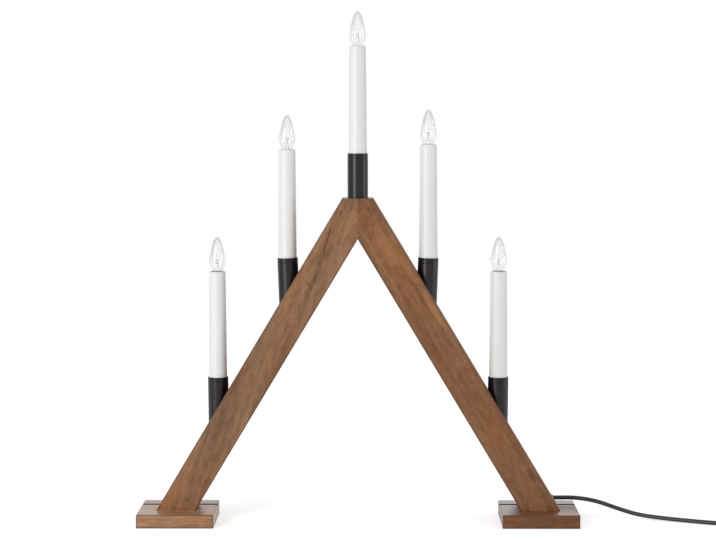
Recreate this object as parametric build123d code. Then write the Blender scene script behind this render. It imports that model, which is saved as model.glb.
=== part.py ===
"""Candle arch: two mitred wooden beams on square feet carry five electric candles wired in series.

Millimetres, +Z up. The front faces -Y, and the origin is on the floor under the middle of the arch.
"""
import os
from math import cos, pi, radians, sin, tan
from typing import NamedTuple

from build123d import *

# Arch
BEAM_LEAN = 30.9            # angle of each beam from the vertical, degrees
BEAM_WIDTH = 31.4           # across a beam, in the plane of the arch
BEAM_DEPTH = 30.0           # front to back
FLAT_TOP_WIDTH = 28.4       # level cut across the apex
FLAT_TOP_HEIGHT = 302.7     # that cut above the floor
EASED_EDGE = 0.8            # rounding of the long wooden edges
DOWEL_DIAMETER = 6.0
DOWEL_LENGTH = 24.0
DOWEL_FRONT_COVER = 3.0     # wood between the dowels and the front face
DOWEL_FIRST_RISE = 8.0      # lower dowel above the inner corner of the mitre
DOWEL_SPACING = 15.0
DOWEL_COUNT = 2

# Feet
FOOT_WIDTH = 71.3
FOOT_DEPTH = 71.0
FOOT_THICKNESS = 12.4
FOOT_INWARD = 0.8           # foot's middle inward of the beam's
GROOVE_WIDTH = 5.0          # sawn groove across the foot under the beam's back edge
GROOVE_DEPTH = 2.0
GROOVE_SET_IN = 3.0         # groove's front edge in front of the beam's back face
FOOT_SCREW_DIAMETER = 4.0
FOOT_SCREW_LENGTH = 32.0
FOOT_SCREW_SPACING = 12.0
FOOT_SCREW_INSET = 8.5      # middle of the pair inward of the foot's middle
FOOT_SCREW_Y = -5.0
FOOT_SCREW_SUNK = 1.0       # screw heads above the floor

# Wire channel in the back of each beam
CHANNEL_INSET = 10.4        # channel's middle from the beam's inner face
CHANNEL_WIDTH = 8.0
CHANNEL_DEPTH = 12.0
COVER_WIDTH = 15.0
COVER_THICKNESS = 3.0
COVER_GAP = 0.15            # between a cover strip and the edge of its rebate
COVER_SCREW_DIAMETER = 2.0
COVER_SCREW_LENGTH = 11.0
COVER_SCREW_COUNT = 3
LEFT_CHANNEL_TAIL = 14.0    # channel below the lowest wire hole on the left

# Candle positions
PITCH_SHARE = 0.34745       # from candle to candle, over a beam's reach at the foot
UPPER_SLEEVE_LEAN = 2.0     # outward lean of the drilled pockets, degrees
LOWER_SLEEVE_LEAN = 0.5
TOP_RECESS = 1.8            # seat of the top sleeve in the level cut

# Sleeves
SLEEVE_DIAMETER = 19.0
SLEEVE_LENGTH = 43.0
SLEEVE_WALL = 0.5
SLEEVE_FLOOR = 1.2
SLEEVE_RING_DROPS = (2.2, 4.6)  # fine rolled lines below the rim
SLEEVE_RING_DEPTH = 0.2
SLEEVE_RING_WIDTH = 0.5
POCKET_CLEARANCE = 0.1
SLEEVE_SCREW_DIAMETER = 3.0
SLEEVE_SCREW_LENGTH = 16.0
SLEEVE_SCREW_MARGIN = 0.5    # its head from the sleeve's wall
SLEEVE_SCREW_TURN = 218.0    # its direction from the sleeve's axis, degrees from +X
WIRE_HOLE_DIAMETER = 4.6
WIRE_HOLE_Y = 4.0

# Candle tubes
TUBE_HEIGHT = 98.6          # above the sleeve's rim when pushed home
TUBE_TOP_DIAMETER = 15.4
TUBE_FIT = 0.45             # room round the tube at the sleeve's rim
TUBE_TUCK = 7.0             # full-width part below the rim
TUBE_WALL = 1.1             # at the top
TUBE_LIP = 1.4
MOUTH_GAP = 0.6             # round the glass in the tube's mouth
TUBE_ROUNDING = 0.6
STEM_FIT = 2.0              # room round the stem in the leaning sleeve
STEM_WALL = 1.0
STEM_FLOOR_GAP = 3.2        # stem's end above the sleeve's floor, clear of the screw head
UPPER_LEFT_RISE = 1.5       # tubes that stand a little out of their sleeves
UPPER_RIGHT_RISE = 6.2

# Lamp sockets and bulbs, for a 10 mm screw cap
SOCKET_CLEARANCE = 0.1
SOCKET_HEIGHT = 16.6
SOCKET_FLOOR = 3.5
CAP_ROOM = 0.15             # between the cap and the socket's shell
SHELL_WALL = 0.5
SHELL_TOP_DROP = 0.6
CONTACT_DIAMETER = 4.8
CONTACT_THICKNESS = 0.8
CONTACT_SHANK = 2.4
CONTACT_TAIL = 0.8
CAP_DIAMETER = 9.5
CAP_WALL = 0.4
CAP_TOP_DROP = 3.2          # cap's rim below the tube's top
CAP_STRAIGHT = 7.8
CAP_CONE = 1.4
CAP_END_DIAMETER = 4.8
TIP_DIAMETER = 3.8
TIP_END_DIAMETER = 2.3
TIP_GAP = 0.15              # clearance at each face of the centre contact
GLASS_HEIGHT = 31.9         # above the tube's top
GLASS_DIAMETER = 15.6
GLASS_MOUTH_DIAMETER = 10.4
GLASS_WALL = 0.5
GLASS_NECK_CLEARANCE = 0.1
GLASS_NECK_DEPTH = 3.0      # neck inside the cap
GLASS_NECK_RISE = 0.2       # straight neck above the cap's rim
GLASS_PROFILE = ((0.26, 1.0), (0.51, 0.885), (0.76, 0.63), (0.93, 0.36))  # shares of height and of belly
FLARE_THICKNESS = 1.2       # glass disc that carries the leads
LEAD_SPREAD = 4.5
LEAD_SINK = 0.2
BEAD_HEIGHT = 7.6           # above the tube's top
BEAD_DIAMETER = 2.2
FILAMENT_RISE = 3.0         # ends of the leads above the bead
LEAD_DIAMETER = 0.5
FILAMENT_DIAMETER = 0.3
FILAMENT_HALF_WIDTH = 1.6

# Wiring
WIRE_DIAMETER = 1.4
WIRE_SPACING = 2.0          # two wires side by side in a hole
WIRE_BEND = 1.6
WIRE_LANE_BACK = 5.5        # wires lie this far in front of the beam's back face
RETURN_LANE = 2.5           # return wire from the channel's middle towards the inner face
TERMINAL_RISE = 0.2         # above the cord clamp, over the room up to the lowest lamp's wire
TERMINAL_SHARE = 0.4        # its length over that room
TERMINAL_SIDE_GAP = 0.3
TERMINAL_FLOOR_GAP = 0.8
TERMINAL_DEPTH = 7.4
CORE_SPACING = 2.4

# Cord clamp on the back of the right beam
CLAMP_DEPTH = 10.0
CLAMP_LIFT = 0.8            # above the foot
CLAMP_HEIGHT = 19.8
CLAMP_OUTER_REACH = 10.0    # from the channel's middle towards the outer face
CLAMP_INNER_REACH = 9.4
CLAMP_WALL = 2.0
CLAMP_CAVITY_MARGIN = 0.2   # cavity wider than the channel, on each side
CLAMP_SCREW_SIDE = 2.6      # screws from the clamp's slanted sides
CLAMP_SCREW_END = 4.5       # screws from its level ends
CLAMP_SCREW_DIAMETER = 2.4
CLAMP_SCREW_LENGTH = 18.0
BOOT_LENGTH = 14.2
BOOT_ROOT_DIAMETER = 8.4
BOOT_END_DIAMETER = 5.6

# Mains cord, its coil and its plug
CORD_DIAMETER = 4.0
CORD_CLEARANCE = 0.15
CORD_BACK = 5.0             # cord's middle behind the beam
CORD_RISE = 5.5             # cord's middle above the foot
CORD_TUCK = 1.0             # cord's end inside the clamp's cavity
CORD_FLOOR_GAP = 0.1
ARC_SHARE = 0.45            # share of the shorter run that an arc takes up
COIL_AWAY = 200.0           # coil's middle from the end of the boot
COIL_Y = 10.0
COIL_INNER_RADIUS = 13.5
COIL_STEP = 4.45            # from one turn to the next, sideways and upwards
COIL_HALF_TURNS = 10        # half turns of the lower layer
COIL_CLIMB_ROOM = 0.6       # extra step beside the half turn that climbs
COIL_TAIL = 28.0            # straight lead from the last turn to the plug
TIE_THICKNESS = 0.6
TIE_GAP = 0.25
TIE_SIDE_GAP = 0.7
TIE_WIDTH = 6.0
PLUG_RELIEF_LENGTH = 20.0
PLUG_RELIEF_DIAMETER = 7.0
PLUG_RELIEF_END_DIAMETER = 5.6
PLUG_CORD_DEPTH = 8.0       # cord's end inside the relief
PLUG_NECK_WIDTH = 10.0
PLUG_NECK_THICKNESS = 9.0
PLUG_NECK_CORNER = 4.0
PLUG_NECK_OVERLAP = 1.0     # neck over the end of the relief
PLUG_BELLY_LENGTH = 18.7    # from the relief to the widest part
PLUG_FLOOR_GAP = 0.1
PLUG_LENGTH = 34.0
PLUG_WIDTH = 26.0
PLUG_FACE_WIDTH = 24.0
PLUG_FACE_THICKNESS = 13.0
PLUG_CORNER = 5.0
PIN_DIAMETER = 4.0
PIN_LENGTH = 19.0
PIN_ROOT = 6.0              # narrower part held in the plug
PIN_ROOT_DIAMETER = 3.4
PIN_NOSE = 1.0
PIN_SPACING = 18.6
FIT_GAP = 0.05              # radial room round screws, dowels and pins
SUNK_HEAD = 0.9             # countersunk head's radius over the shank's diameter
PAN_HEAD = 0.93             # round head's radius over the shank's diameter
PAN_EDGE = 0.4              # height of its straight edge over its radius
PAN_CROWN = 0.7             # radius and height of its crown over its radius
CUT_PAST = 1.0              # cutters run this far past a face
NEAR = 0.01                 # for telling edges apart

LEAN = radians(BEAM_LEAN)
HALF_DEPTH = BEAM_DEPTH / 2
CHANNEL_OFFSET = BEAM_WIDTH - CHANNEL_INSET
COVER_SEAT_Y = HALF_DEPTH - COVER_THICKNESS
CHANNEL_FLOOR_Y = HALF_DEPTH - CHANNEL_DEPTH
COVER_SCREW_OFFSET = COVER_WIDTH / 2 - 2 * COVER_GAP - SUNK_HEAD * COVER_SCREW_DIAMETER
LANE_Y = HALF_DEPTH - WIRE_LANE_BACK
SLEEVE_RADIUS = SLEEVE_DIAMETER / 2
SLEEVE_BORE_RADIUS = SLEEVE_RADIUS - SLEEVE_WALL
SLEEVE_SCREW_REACH = SLEEVE_BORE_RADIUS - PAN_HEAD * SLEEVE_SCREW_DIAMETER - SLEEVE_SCREW_MARGIN
SLEEVE_SCREW_SEAT = Pos(SLEEVE_SCREW_REACH * cos(radians(SLEEVE_SCREW_TURN)),
                        SLEEVE_SCREW_REACH * sin(radians(SLEEVE_SCREW_TURN)), SLEEVE_FLOOR - SLEEVE_LENGTH)
TUBE_RIM_DIAMETER = 2 * (SLEEVE_BORE_RADIUS - TUBE_FIT)
TUBE_BORE = TUBE_TOP_DIAMETER - 2 * TUBE_WALL
TUBE_MOUTH = GLASS_MOUTH_DIAMETER + 2 * MOUTH_GAP
STEM_RADIUS = SLEEVE_BORE_RADIUS - STEM_FIT
SHELL_DIAMETER = CAP_DIAMETER + 2 * (CAP_ROOM + SHELL_WALL)
CLAMP_BOTTOM = FOOT_THICKNESS + CLAMP_LIFT
CLAMP_TOP = CLAMP_BOTTOM + CLAMP_HEIGHT
CLAMP_CAVITY_REACH = CHANNEL_WIDTH / 2 + CLAMP_CAVITY_MARGIN
CORD_Y = HALF_DEPTH + CORD_BACK
CORD_Z = FOOT_THICKNESS + CORD_RISE
CORD_RADIUS = CORD_DIAMETER / 2
FLOOR_CORD_Z = CORD_RADIUS + CORD_FLOOR_GAP
COIL_LOW_Z = TIE_THICKNESS + TIE_GAP + CORD_RADIUS
COIL_HIGH_Z = COIL_LOW_Z + COIL_STEP


class Lamp(NamedTuple):
    name: str
    place: int      # candle pitches from the middle
    lean: float     # outward lean of the sleeve, degrees
    rise: float     # of the tube out of its sleeve


LAMPS = (
    Lamp("lower_left", -2, LOWER_SLEEVE_LEAN, 0.0),
    Lamp("upper_left", -1, UPPER_SLEEVE_LEAN, UPPER_LEFT_RISE),
    Lamp("top", 0, 0.0, 0.0),
    Lamp("upper_right", 1, UPPER_SLEEVE_LEAN, UPPER_RIGHT_RISE),
    Lamp("lower_right", 2, LOWER_SLEEVE_LEAN, 0.0),
)


# Lines of the right beam, drawn in X and Z; the left beam is their mirror image
def beam_x(z, inset):
    """X at height z of the line that lies inset behind the outer face."""
    return FLAT_TOP_WIDTH / 2 + (FLAT_TOP_HEIGHT - z) * tan(LEAN) - inset / cos(LEAN)


def beam_z(x, inset):
    """Height at x of that line."""
    return FLAT_TOP_HEIGHT - (x - FLAT_TOP_WIDTH / 2 + inset / cos(LEAN)) / tan(LEAN)


FOOT_X = (beam_x(FOOT_THICKNESS, 0) + beam_x(FOOT_THICKNESS, BEAM_WIDTH)) / 2 - FOOT_INWARD
CANDLE_PITCH = PITCH_SHARE * beam_x(FOOT_THICKNESS, 0)
MITRE_BOTTOM = beam_z(0, BEAM_WIDTH)
CORD_START_X = beam_x(CORD_Z, CHANNEL_OFFSET - CLAMP_CAVITY_REACH) - CORD_TUCK
BOOT_ROOT_X = beam_x(CORD_Z, CHANNEL_OFFSET - CLAMP_OUTER_REACH) - CLAMP_WALL
BOOT_END_X = BOOT_ROOT_X + BOOT_LENGTH
COIL_X = BOOT_END_X + COIL_AWAY


def slab(points, y_front, y_back):
    """Prism of an outline in X and Z between two depths."""
    outline = Polyline([(x, y_front, z) for x, z in points], close=True)
    return extrude(make_face(outline), amount=y_back - y_front, dir=(0, 1, 0))


def turned(points):
    """Solid of revolution of an outline of radius and height."""
    outline = Polyline([(r, 0, z) for r, z in points], close=True)
    return revolve(make_face(outline), axis=Axis.Z)


def rod(start, end, diameter):
    """Round bar between two points."""
    run = Vector(*end) - Vector(*start)
    return extrude(Plane(origin=start, z_dir=run) * Circle(diameter / 2), amount=run.length)


def upright_rod(x, y, bottom, top, diameter):
    return rod((x, y, bottom), (x, y, top), diameter)


def tube_along(path, diameter):
    return sweep(Plane(path @ 0, z_dir=path % 0) * Circle(diameter / 2), path=path)


def mirrored(shape):
    return mirror(shape, about=Plane.YZ)


def channel_strip(half_width, bottom):
    """Outline of a strip along the channel, from a level lower end to the mitre."""
    near = CHANNEL_OFFSET - half_width
    far = CHANNEL_OFFSET + half_width
    return [(beam_x(bottom, far), bottom), (beam_x(bottom, near), bottom),
            (0, beam_z(0, near)), (0, beam_z(0, far))]


def channel_block(outer_reach, inner_reach, bottom, top):
    """Outline of a block over the channel between two level ends."""
    near = CHANNEL_OFFSET - outer_reach
    far = CHANNEL_OFFSET + inner_reach
    return [(beam_x(bottom, far), bottom), (beam_x(bottom, near), bottom),
            (beam_x(top, near), top), (beam_x(top, far), top)]


def pan_screw(diameter, length):
    """Round-headed screw: the head stands on Z = 0 and the shank points down."""
    head = diameter * PAN_HEAD
    return turned([(0, -length), (diameter / 2, -length + diameter / 2), (diameter / 2, 0), (head, 0),
                   (head, head * PAN_EDGE), (head * PAN_CROWN, head * PAN_CROWN), (0, head * PAN_CROWN)])


def sunk_screw(diameter, length):
    """Countersunk screw: the flat head lies in Z = 0 and the shank points down."""
    head = diameter * SUNK_HEAD
    return turned([(0, -length), (diameter / 2, -length + diameter / 2), (diameter / 2, diameter / 2 - head),
                   (head, 0), (0, 0)])


def screw_hole(diameter, length):
    return Pos(0, 0, -length / 2) * Cylinder(diameter / 2 + FIT_GAP, length)


def sunk_hole(diameter, length):
    """Hole with its countersink, a little wider than the screw that it takes."""
    head = diameter * SUNK_HEAD + FIT_GAP
    shank = diameter / 2 + FIT_GAP
    return turned([(0, -length), (shank, -length), (shank, shank - head), (head, 0),
                   (head, CUT_PAST), (0, CUT_PAST)])


# Candle places: the sleeve's frame stands at the middle of its rim, the tube is upright
def sleeve_place(lamp):
    side = 1 if lamp.place > 0 else -1
    x = CANDLE_PITCH * lamp.place
    if lamp.place == 0:
        return Location((0, 0, FLAT_TOP_HEIGHT - TOP_RECESS + SLEEVE_LENGTH))
    tilt = radians(lamp.lean)
    corner_x = abs(x) - SLEEVE_LENGTH * sin(tilt) + SLEEVE_RADIUS * cos(tilt)
    rim_z = beam_z(corner_x, 0) + SLEEVE_LENGTH * cos(tilt) + SLEEVE_RADIUS * sin(tilt)
    return Location((x, 0, rim_z), (0, side * lamp.lean, 0))


def floor_middle(lamp):
    """Point on the axis at the sleeve's underside."""
    return (sleeve_place(lamp) * Pos(0, 0, -SLEEVE_LENGTH)).position


def tube_top(lamp):
    return sleeve_place(lamp).position.Z + TUBE_HEIGHT + lamp.rise


def lamp_axis(lamp):
    """Upright frame at the middle of the tube's top."""
    return Pos(CANDLE_PITCH * lamp.place, 0, tube_top(lamp))


def lane_z(x, inset):
    return beam_z(abs(x), inset)


# Beams
LOWEST_LEFT_HOLE = lane_z(floor_middle(LAMPS[0]).X, CHANNEL_OFFSET)
LEFT_CHANNEL_BOTTOM = LOWEST_LEFT_HOLE - LEFT_CHANNEL_TAIL
LOWEST_RIGHT_HOLE = lane_z(floor_middle(LAMPS[-1]).X, CHANNEL_OFFSET)
TERMINAL_BOTTOM = CLAMP_TOP + TERMINAL_RISE * (LOWEST_RIGHT_HOLE - CLAMP_TOP)
TERMINAL_TOP = TERMINAL_BOTTOM + TERMINAL_SHARE * (LOWEST_RIGHT_HOLE - CLAMP_TOP)
RIGHT_COVER_BOTTOM = CLAMP_TOP
LEFT_COVER_BOTTOM = LEFT_CHANNEL_BOTTOM - COVER_SCREW_OFFSET
CLAMP_SCREWS = ((CHANNEL_OFFSET - CLAMP_OUTER_REACH + CLAMP_SCREW_SIDE, CLAMP_TOP - CLAMP_SCREW_END),
                (CHANNEL_OFFSET + CLAMP_INNER_REACH - CLAMP_SCREW_SIDE, CLAMP_BOTTOM + CLAMP_SCREW_END))


def cover_screw_points(bottom):
    """X and Z of the screws along the inner ledge of a cover."""
    inset = CHANNEL_OFFSET + COVER_SCREW_OFFSET
    top = beam_z(0, inset)
    step = (top - bottom) / COVER_SCREW_COUNT
    heights = [bottom + (i + 0.5) * step for i in range(COVER_SCREW_COUNT)]
    return [(beam_x(z, inset), z) for z in heights]


def from_back(x, y, z):
    """Frame on a back face, with its Z axis pointing out of the back."""
    return Location(Plane(origin=(x, y, z), x_dir=(1, 0, 0), z_dir=(0, 1, 0)))


def foot_screw_points(side):
    middle = FOOT_X - FOOT_SCREW_INSET
    return [(side * (middle + i * FOOT_SCREW_SPACING / 2), FOOT_SCREW_Y) for i in (-1, 1)]


def from_below(x, y):
    """Frame on the floor, with its Z axis pointing down."""
    return Location(Plane(origin=(x, y, 0), x_dir=(1, 0, 0), z_dir=(0, 0, -1)))


def dowel_places():
    y = -HALF_DEPTH + DOWEL_FRONT_COVER + DOWEL_DIAMETER / 2
    lowest = MITRE_BOTTOM + DOWEL_FIRST_RISE
    return [(y, lowest + i * DOWEL_SPACING) for i in range(DOWEL_COUNT)]


def plain_beam():
    """Right beam with its long edges eased, before any hole."""
    outline = [(0, MITRE_BOTTOM), (beam_x(FOOT_THICKNESS, BEAM_WIDTH), FOOT_THICKNESS),
               (beam_x(FOOT_THICKNESS, 0), FOOT_THICKNESS), (FLAT_TOP_WIDTH / 2, FLAT_TOP_HEIGHT),
               (0, FLAT_TOP_HEIGHT)]
    beam = slab(outline, -HALF_DEPTH, HALF_DEPTH)

    def is_long(edge):
        ends = (edge @ 0, edge @ 1)
        flat = abs(ends[0].Y - ends[1].Y) < NEAR
        on_mitre = max(abs(p.X) for p in ends) < NEAR
        on_foot = max(p.Z for p in ends) < FOOT_THICKNESS + NEAR
        return flat and not on_mitre and not on_foot

    return fillet([e for e in beam.edges() if is_long(e)], EASED_EDGE)


def lamp_cuts():
    """Pockets, wire holes and screw holes for all five lamps, as one tool."""
    pocket_radius = SLEEVE_RADIUS + POCKET_CLEARANCE
    cuts = []
    for lamp in LAMPS:
        place = sleeve_place(lamp)
        foot = floor_middle(lamp)
        cuts.append(place * Cylinder(pocket_radius, 2 * SLEEVE_LENGTH))
        cuts.append(place * SLEEVE_SCREW_SEAT * screw_hole(SLEEVE_SCREW_DIAMETER, SLEEVE_SCREW_LENGTH))
        bottom = lane_z(foot.X, CHANNEL_OFFSET) - CHANNEL_WIDTH / 2
        cuts.append(upright_rod(foot.X, WIRE_HOLE_Y, bottom, foot.Z + CUT_PAST, WIRE_HOLE_DIAMETER))
    return cuts


def beam(side):
    """One beam with its pockets, channel, rebate and holes."""
    channel_bottom = CLAMP_BOTTOM + CLAMP_WALL if side > 0 else LEFT_CHANNEL_BOTTOM
    cover_bottom = RIGHT_COVER_BOTTOM if side > 0 else LEFT_COVER_BOTTOM
    cuts = [slab(channel_strip(CHANNEL_WIDTH / 2, channel_bottom), CHANNEL_FLOOR_Y, HALF_DEPTH + CUT_PAST),
            slab(channel_strip(COVER_WIDTH / 2, cover_bottom), COVER_SEAT_Y, HALF_DEPTH + CUT_PAST)]
    cuts += [from_back(x, HALF_DEPTH, z) * screw_hole(COVER_SCREW_DIAMETER, COVER_SCREW_LENGTH)
             for x, z in cover_screw_points(cover_bottom)]
    cuts += [rod((0, y, z), (DOWEL_LENGTH / 2 + FIT_GAP, y, z), DOWEL_DIAMETER + 2 * FIT_GAP)
             for y, z in dowel_places()]
    cuts += [from_below(x, y) * Pos(0, 0, -FOOT_SCREW_SUNK)
             * screw_hole(FOOT_SCREW_DIAMETER, FOOT_SCREW_LENGTH) for x, y in foot_screw_points(1)]
    if side > 0:
        cuts += [from_back(beam_x(z, inset), HALF_DEPTH + CLAMP_DEPTH, z)
                 * screw_hole(CLAMP_SCREW_DIAMETER, CLAMP_SCREW_LENGTH) for inset, z in CLAMP_SCREWS]
    body = plain_beam() - cuts
    if side < 0:
        body = mirrored(body)
    return body - lamp_cuts()


def foot(side):
    x = side * FOOT_X
    block = Pos(x, 0, FOOT_THICKNESS / 2) * Box(FOOT_WIDTH, FOOT_DEPTH, FOOT_THICKNESS)
    kept = block.edges().group_by(Axis.Z)[0]
    block = fillet([e for e in block.edges() if e not in kept], EASED_EDGE)
    groove_place = Pos(x, HALF_DEPTH - GROOVE_SET_IN + GROOVE_WIDTH / 2, FOOT_THICKNESS)
    groove = groove_place * Box(2 * FOOT_WIDTH, GROOVE_WIDTH, 2 * GROOVE_DEPTH)
    holes = [from_below(px, py) * Pos(0, 0, -FOOT_SCREW_SUNK)
             * sunk_hole(FOOT_SCREW_DIAMETER, FOOT_SCREW_LENGTH) for px, py in foot_screw_points(side)]
    return block - groove - holes


def cover(side):
    """Strip that closes a channel, let in flush with the beam's back."""
    bottom = RIGHT_COVER_BOTTOM if side > 0 else LEFT_COVER_BOTTOM
    strip = slab(channel_strip(COVER_WIDTH / 2 - COVER_GAP, bottom + COVER_GAP), COVER_SEAT_Y, HALF_DEPTH)
    strip -= [from_back(x, HALF_DEPTH, z) * sunk_hole(COVER_SCREW_DIAMETER, COVER_SCREW_LENGTH)
              for x, z in cover_screw_points(bottom)]
    return strip if side > 0 else mirrored(strip)


def back_screws():
    right = [from_back(x, HALF_DEPTH, z) * sunk_screw(COVER_SCREW_DIAMETER, COVER_SCREW_LENGTH)
             for x, z in cover_screw_points(RIGHT_COVER_BOTTOM)]
    left = [from_back(-x, HALF_DEPTH, z) * sunk_screw(COVER_SCREW_DIAMETER, COVER_SCREW_LENGTH)
            for x, z in cover_screw_points(LEFT_COVER_BOTTOM)]
    clamp = [from_back(beam_x(z, inset), HALF_DEPTH + CLAMP_DEPTH, z)
             * pan_screw(CLAMP_SCREW_DIAMETER, CLAMP_SCREW_LENGTH) for inset, z in CLAMP_SCREWS]
    return right + left + clamp


# One candle, drawn in the sleeve's frame or in the frame at the tube's top
def sleeve():
    half_ring = SLEEVE_RING_WIDTH / 2
    floor = SLEEVE_FLOOR - SLEEVE_LENGTH
    outline = [(0, floor), (0, -SLEEVE_LENGTH), (SLEEVE_RADIUS, -SLEEVE_LENGTH)]
    for ring in reversed(SLEEVE_RING_DROPS):
        outline += [(SLEEVE_RADIUS, -ring - half_ring), (SLEEVE_RADIUS - SLEEVE_RING_DEPTH, -ring),
                    (SLEEVE_RADIUS, -ring + half_ring)]
    outline += [(SLEEVE_RADIUS, 0), (SLEEVE_BORE_RADIUS, 0), (SLEEVE_BORE_RADIUS, floor)]
    cup = turned(outline)
    wires = Pos(0, WIRE_HOLE_Y, -SLEEVE_LENGTH) * Cylinder(WIRE_HOLE_DIAMETER / 2, 4 * SLEEVE_FLOOR)
    return cup - SLEEVE_SCREW_SEAT * screw_hole(SLEEVE_SCREW_DIAMETER, SLEEVE_SCREW_LENGTH) - wires


def candle_tube():
    """Tapered hollow candle with a lip round the bulb and a narrow stem in the sleeve."""
    top = TUBE_TOP_DIAMETER / 2
    taper = (TUBE_RIM_DIAMETER - TUBE_TOP_DIAMETER) / 2 / TUBE_HEIGHT
    shoulder = -TUBE_HEIGHT - TUBE_TUCK
    widest = top - shoulder * taper
    end = -TUBE_HEIGHT - SLEEVE_LENGTH + SLEEVE_FLOOR + STEM_FLOOR_GAP
    stem_bore = STEM_RADIUS - STEM_WALL
    bore = TUBE_BORE / 2
    mouth = TUBE_MOUTH / 2
    return turned([(mouth, 0), (top - TUBE_ROUNDING, 0), (top, -TUBE_ROUNDING), (widest, shoulder),
                   (STEM_RADIUS, shoulder), (STEM_RADIUS, end), (stem_bore, end),
                   (stem_bore, shoulder + TUBE_LIP), (bore, shoulder + 2 * TUBE_LIP), (bore, -TUBE_LIP),
                   (mouth, -TUBE_LIP)])


SOCKET_TOP = -TUBE_LIP
SOCKET_SEAT = SOCKET_TOP - SOCKET_HEIGHT + SOCKET_FLOOR
SOCKET_BOTTOM = SOCKET_TOP - SOCKET_HEIGHT
CONTACT_TOP = SOCKET_SEAT + CONTACT_THICKNESS
CAP_BOTTOM = -CAP_TOP_DROP - CAP_STRAIGHT - CAP_CONE


def socket_body():
    outer = TUBE_BORE / 2 - SOCKET_CLEARANCE
    bore = SHELL_DIAMETER / 2 + FIT_GAP
    rivet = CONTACT_SHANK / 2 + FIT_GAP
    return turned([(bore, SOCKET_TOP), (outer, SOCKET_TOP), (outer, SOCKET_BOTTOM), (rivet, SOCKET_BOTTOM),
                   (rivet, SOCKET_SEAT), (bore, SOCKET_SEAT)])


def socket_shell():
    outer = SHELL_DIAMETER / 2
    top = SOCKET_TOP - SHELL_TOP_DROP
    inner = outer - SHELL_WALL
    return turned([(inner, top), (outer, top), (outer, SOCKET_SEAT), (inner, SOCKET_SEAT)])


def socket_contact():
    """Rivet under the bulb's centre contact."""
    head = CONTACT_DIAMETER / 2
    shank = CONTACT_SHANK / 2
    return turned([(0, CONTACT_TOP), (head, CONTACT_TOP), (head, SOCKET_SEAT), (shank, SOCKET_SEAT),
                   (shank, SOCKET_BOTTOM - CONTACT_TAIL), (0, SOCKET_BOTTOM - CONTACT_TAIL)])


def bulb_cap():
    outer = CAP_DIAMETER / 2
    inner = outer - CAP_WALL
    end = CAP_END_DIAMETER / 2
    knee = CAP_BOTTOM + CAP_CONE
    return turned([(outer, -CAP_TOP_DROP), (outer, knee), (end, CAP_BOTTOM), (0, CAP_BOTTOM),
                   (0, CAP_BOTTOM + 2 * CAP_WALL), (end, CAP_BOTTOM + 2 * CAP_WALL), (inner, knee + CAP_WALL),
                   (inner, -CAP_TOP_DROP)])


def bulb_tip():
    top = CAP_BOTTOM - TIP_GAP
    bottom = CONTACT_TOP + TIP_GAP
    radius = TIP_DIAMETER / 2
    end = TIP_END_DIAMETER / 2
    return turned([(0, top), (radius, top), (radius, (top + bottom) / 2), (end, bottom), (0, bottom)])


def glass_line(inset):
    """Half outline of the flame-shaped glass: neck, shoulder, belly and rounded tip."""
    neck = CAP_DIAMETER / 2 - CAP_WALL - GLASS_NECK_CLEARANCE - inset
    belly = GLASS_DIAMETER / 2 - inset
    height = GLASS_HEIGHT - inset
    points = [(neck, 0, GLASS_NECK_RISE - CAP_TOP_DROP), (GLASS_MOUTH_DIAMETER / 2 - inset, 0, 0)]
    points += [(width * belly, 0, rise * height) for rise, width in GLASS_PROFILE]
    points.append((0, 0, height))
    return Spline(*points, tangents=[(0, 0, 1), (-1, 0, 0)])


def bulb_glass():
    outer = glass_line(0)
    inner = glass_line(GLASS_WALL)
    bottom = -CAP_TOP_DROP - GLASS_NECK_DEPTH
    outer_neck = outer @ 0
    inner_neck = inner @ 0
    walls = [outer, Line(outer @ 1, inner @ 1), inner,
             Polyline(inner_neck, (inner_neck.X, 0, bottom), (outer_neck.X, 0, bottom), outer_neck)]
    return revolve(make_face(Curve() + walls), axis=Axis.Z)


def bulb_filament():
    """Glass flare, two leads that meet at a bead, and the looped filament above it."""
    flare_top = -CAP_TOP_DROP - GLASS_NECK_DEPTH / 2
    neck_radius = CAP_DIAMETER / 2 - CAP_WALL - GLASS_NECK_CLEARANCE
    flare_radius = neck_radius - GLASS_WALL - GLASS_NECK_CLEARANCE
    lead_top = BEAD_HEIGHT + FILAMENT_RISE
    flare = Pos(0, 0, flare_top - FLARE_THICKNESS / 2) * Cylinder(flare_radius, FLARE_THICKNESS)
    bead = Pos(0, 0, BEAD_HEIGHT) * Rot(90, 0, 0) * Sphere(BEAD_DIAMETER / 2)
    leads = []
    for side in (-1, 1):
        foot_end = (side * LEAD_SPREAD / 2, 0, flare_top - LEAD_SINK)
        in_bead = (side * LEAD_DIAMETER, 0, BEAD_HEIGHT)
        leads.append(rod(foot_end, in_bead, LEAD_DIAMETER))
        leads.append(rod(in_bead, (side * FILAMENT_HALF_WIDTH, 0, lead_top), LEAD_DIAMETER))
    arch_z = lead_top - LEAD_SINK
    arch = ThreePointArc((-FILAMENT_HALF_WIDTH, 0, arch_z), (0, 0, arch_z + FILAMENT_HALF_WIDTH),
                         (FILAMENT_HALF_WIDTH, 0, arch_z))
    return flare.fuse(bead, *leads, tube_along(arch, FILAMENT_DIAMETER))


# Wiring
def wire_end(lamp, hand):
    """X of one of the two wires that hang in a candle, and the height where it meets the socket."""
    return floor_middle(lamp).X + hand * WIRE_SPACING / 2, tube_top(lamp) + SOCKET_BOTTOM


def drop(lamp, hand, inset):
    """Way from a socket down its candle and back into the lane of the channel."""
    x, top = wire_end(lamp, hand)
    z = lane_z(x, inset)
    return [(x, WIRE_HOLE_Y, top), (x, WIRE_HOLE_Y, z), (x, LANE_Y, z)]


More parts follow.
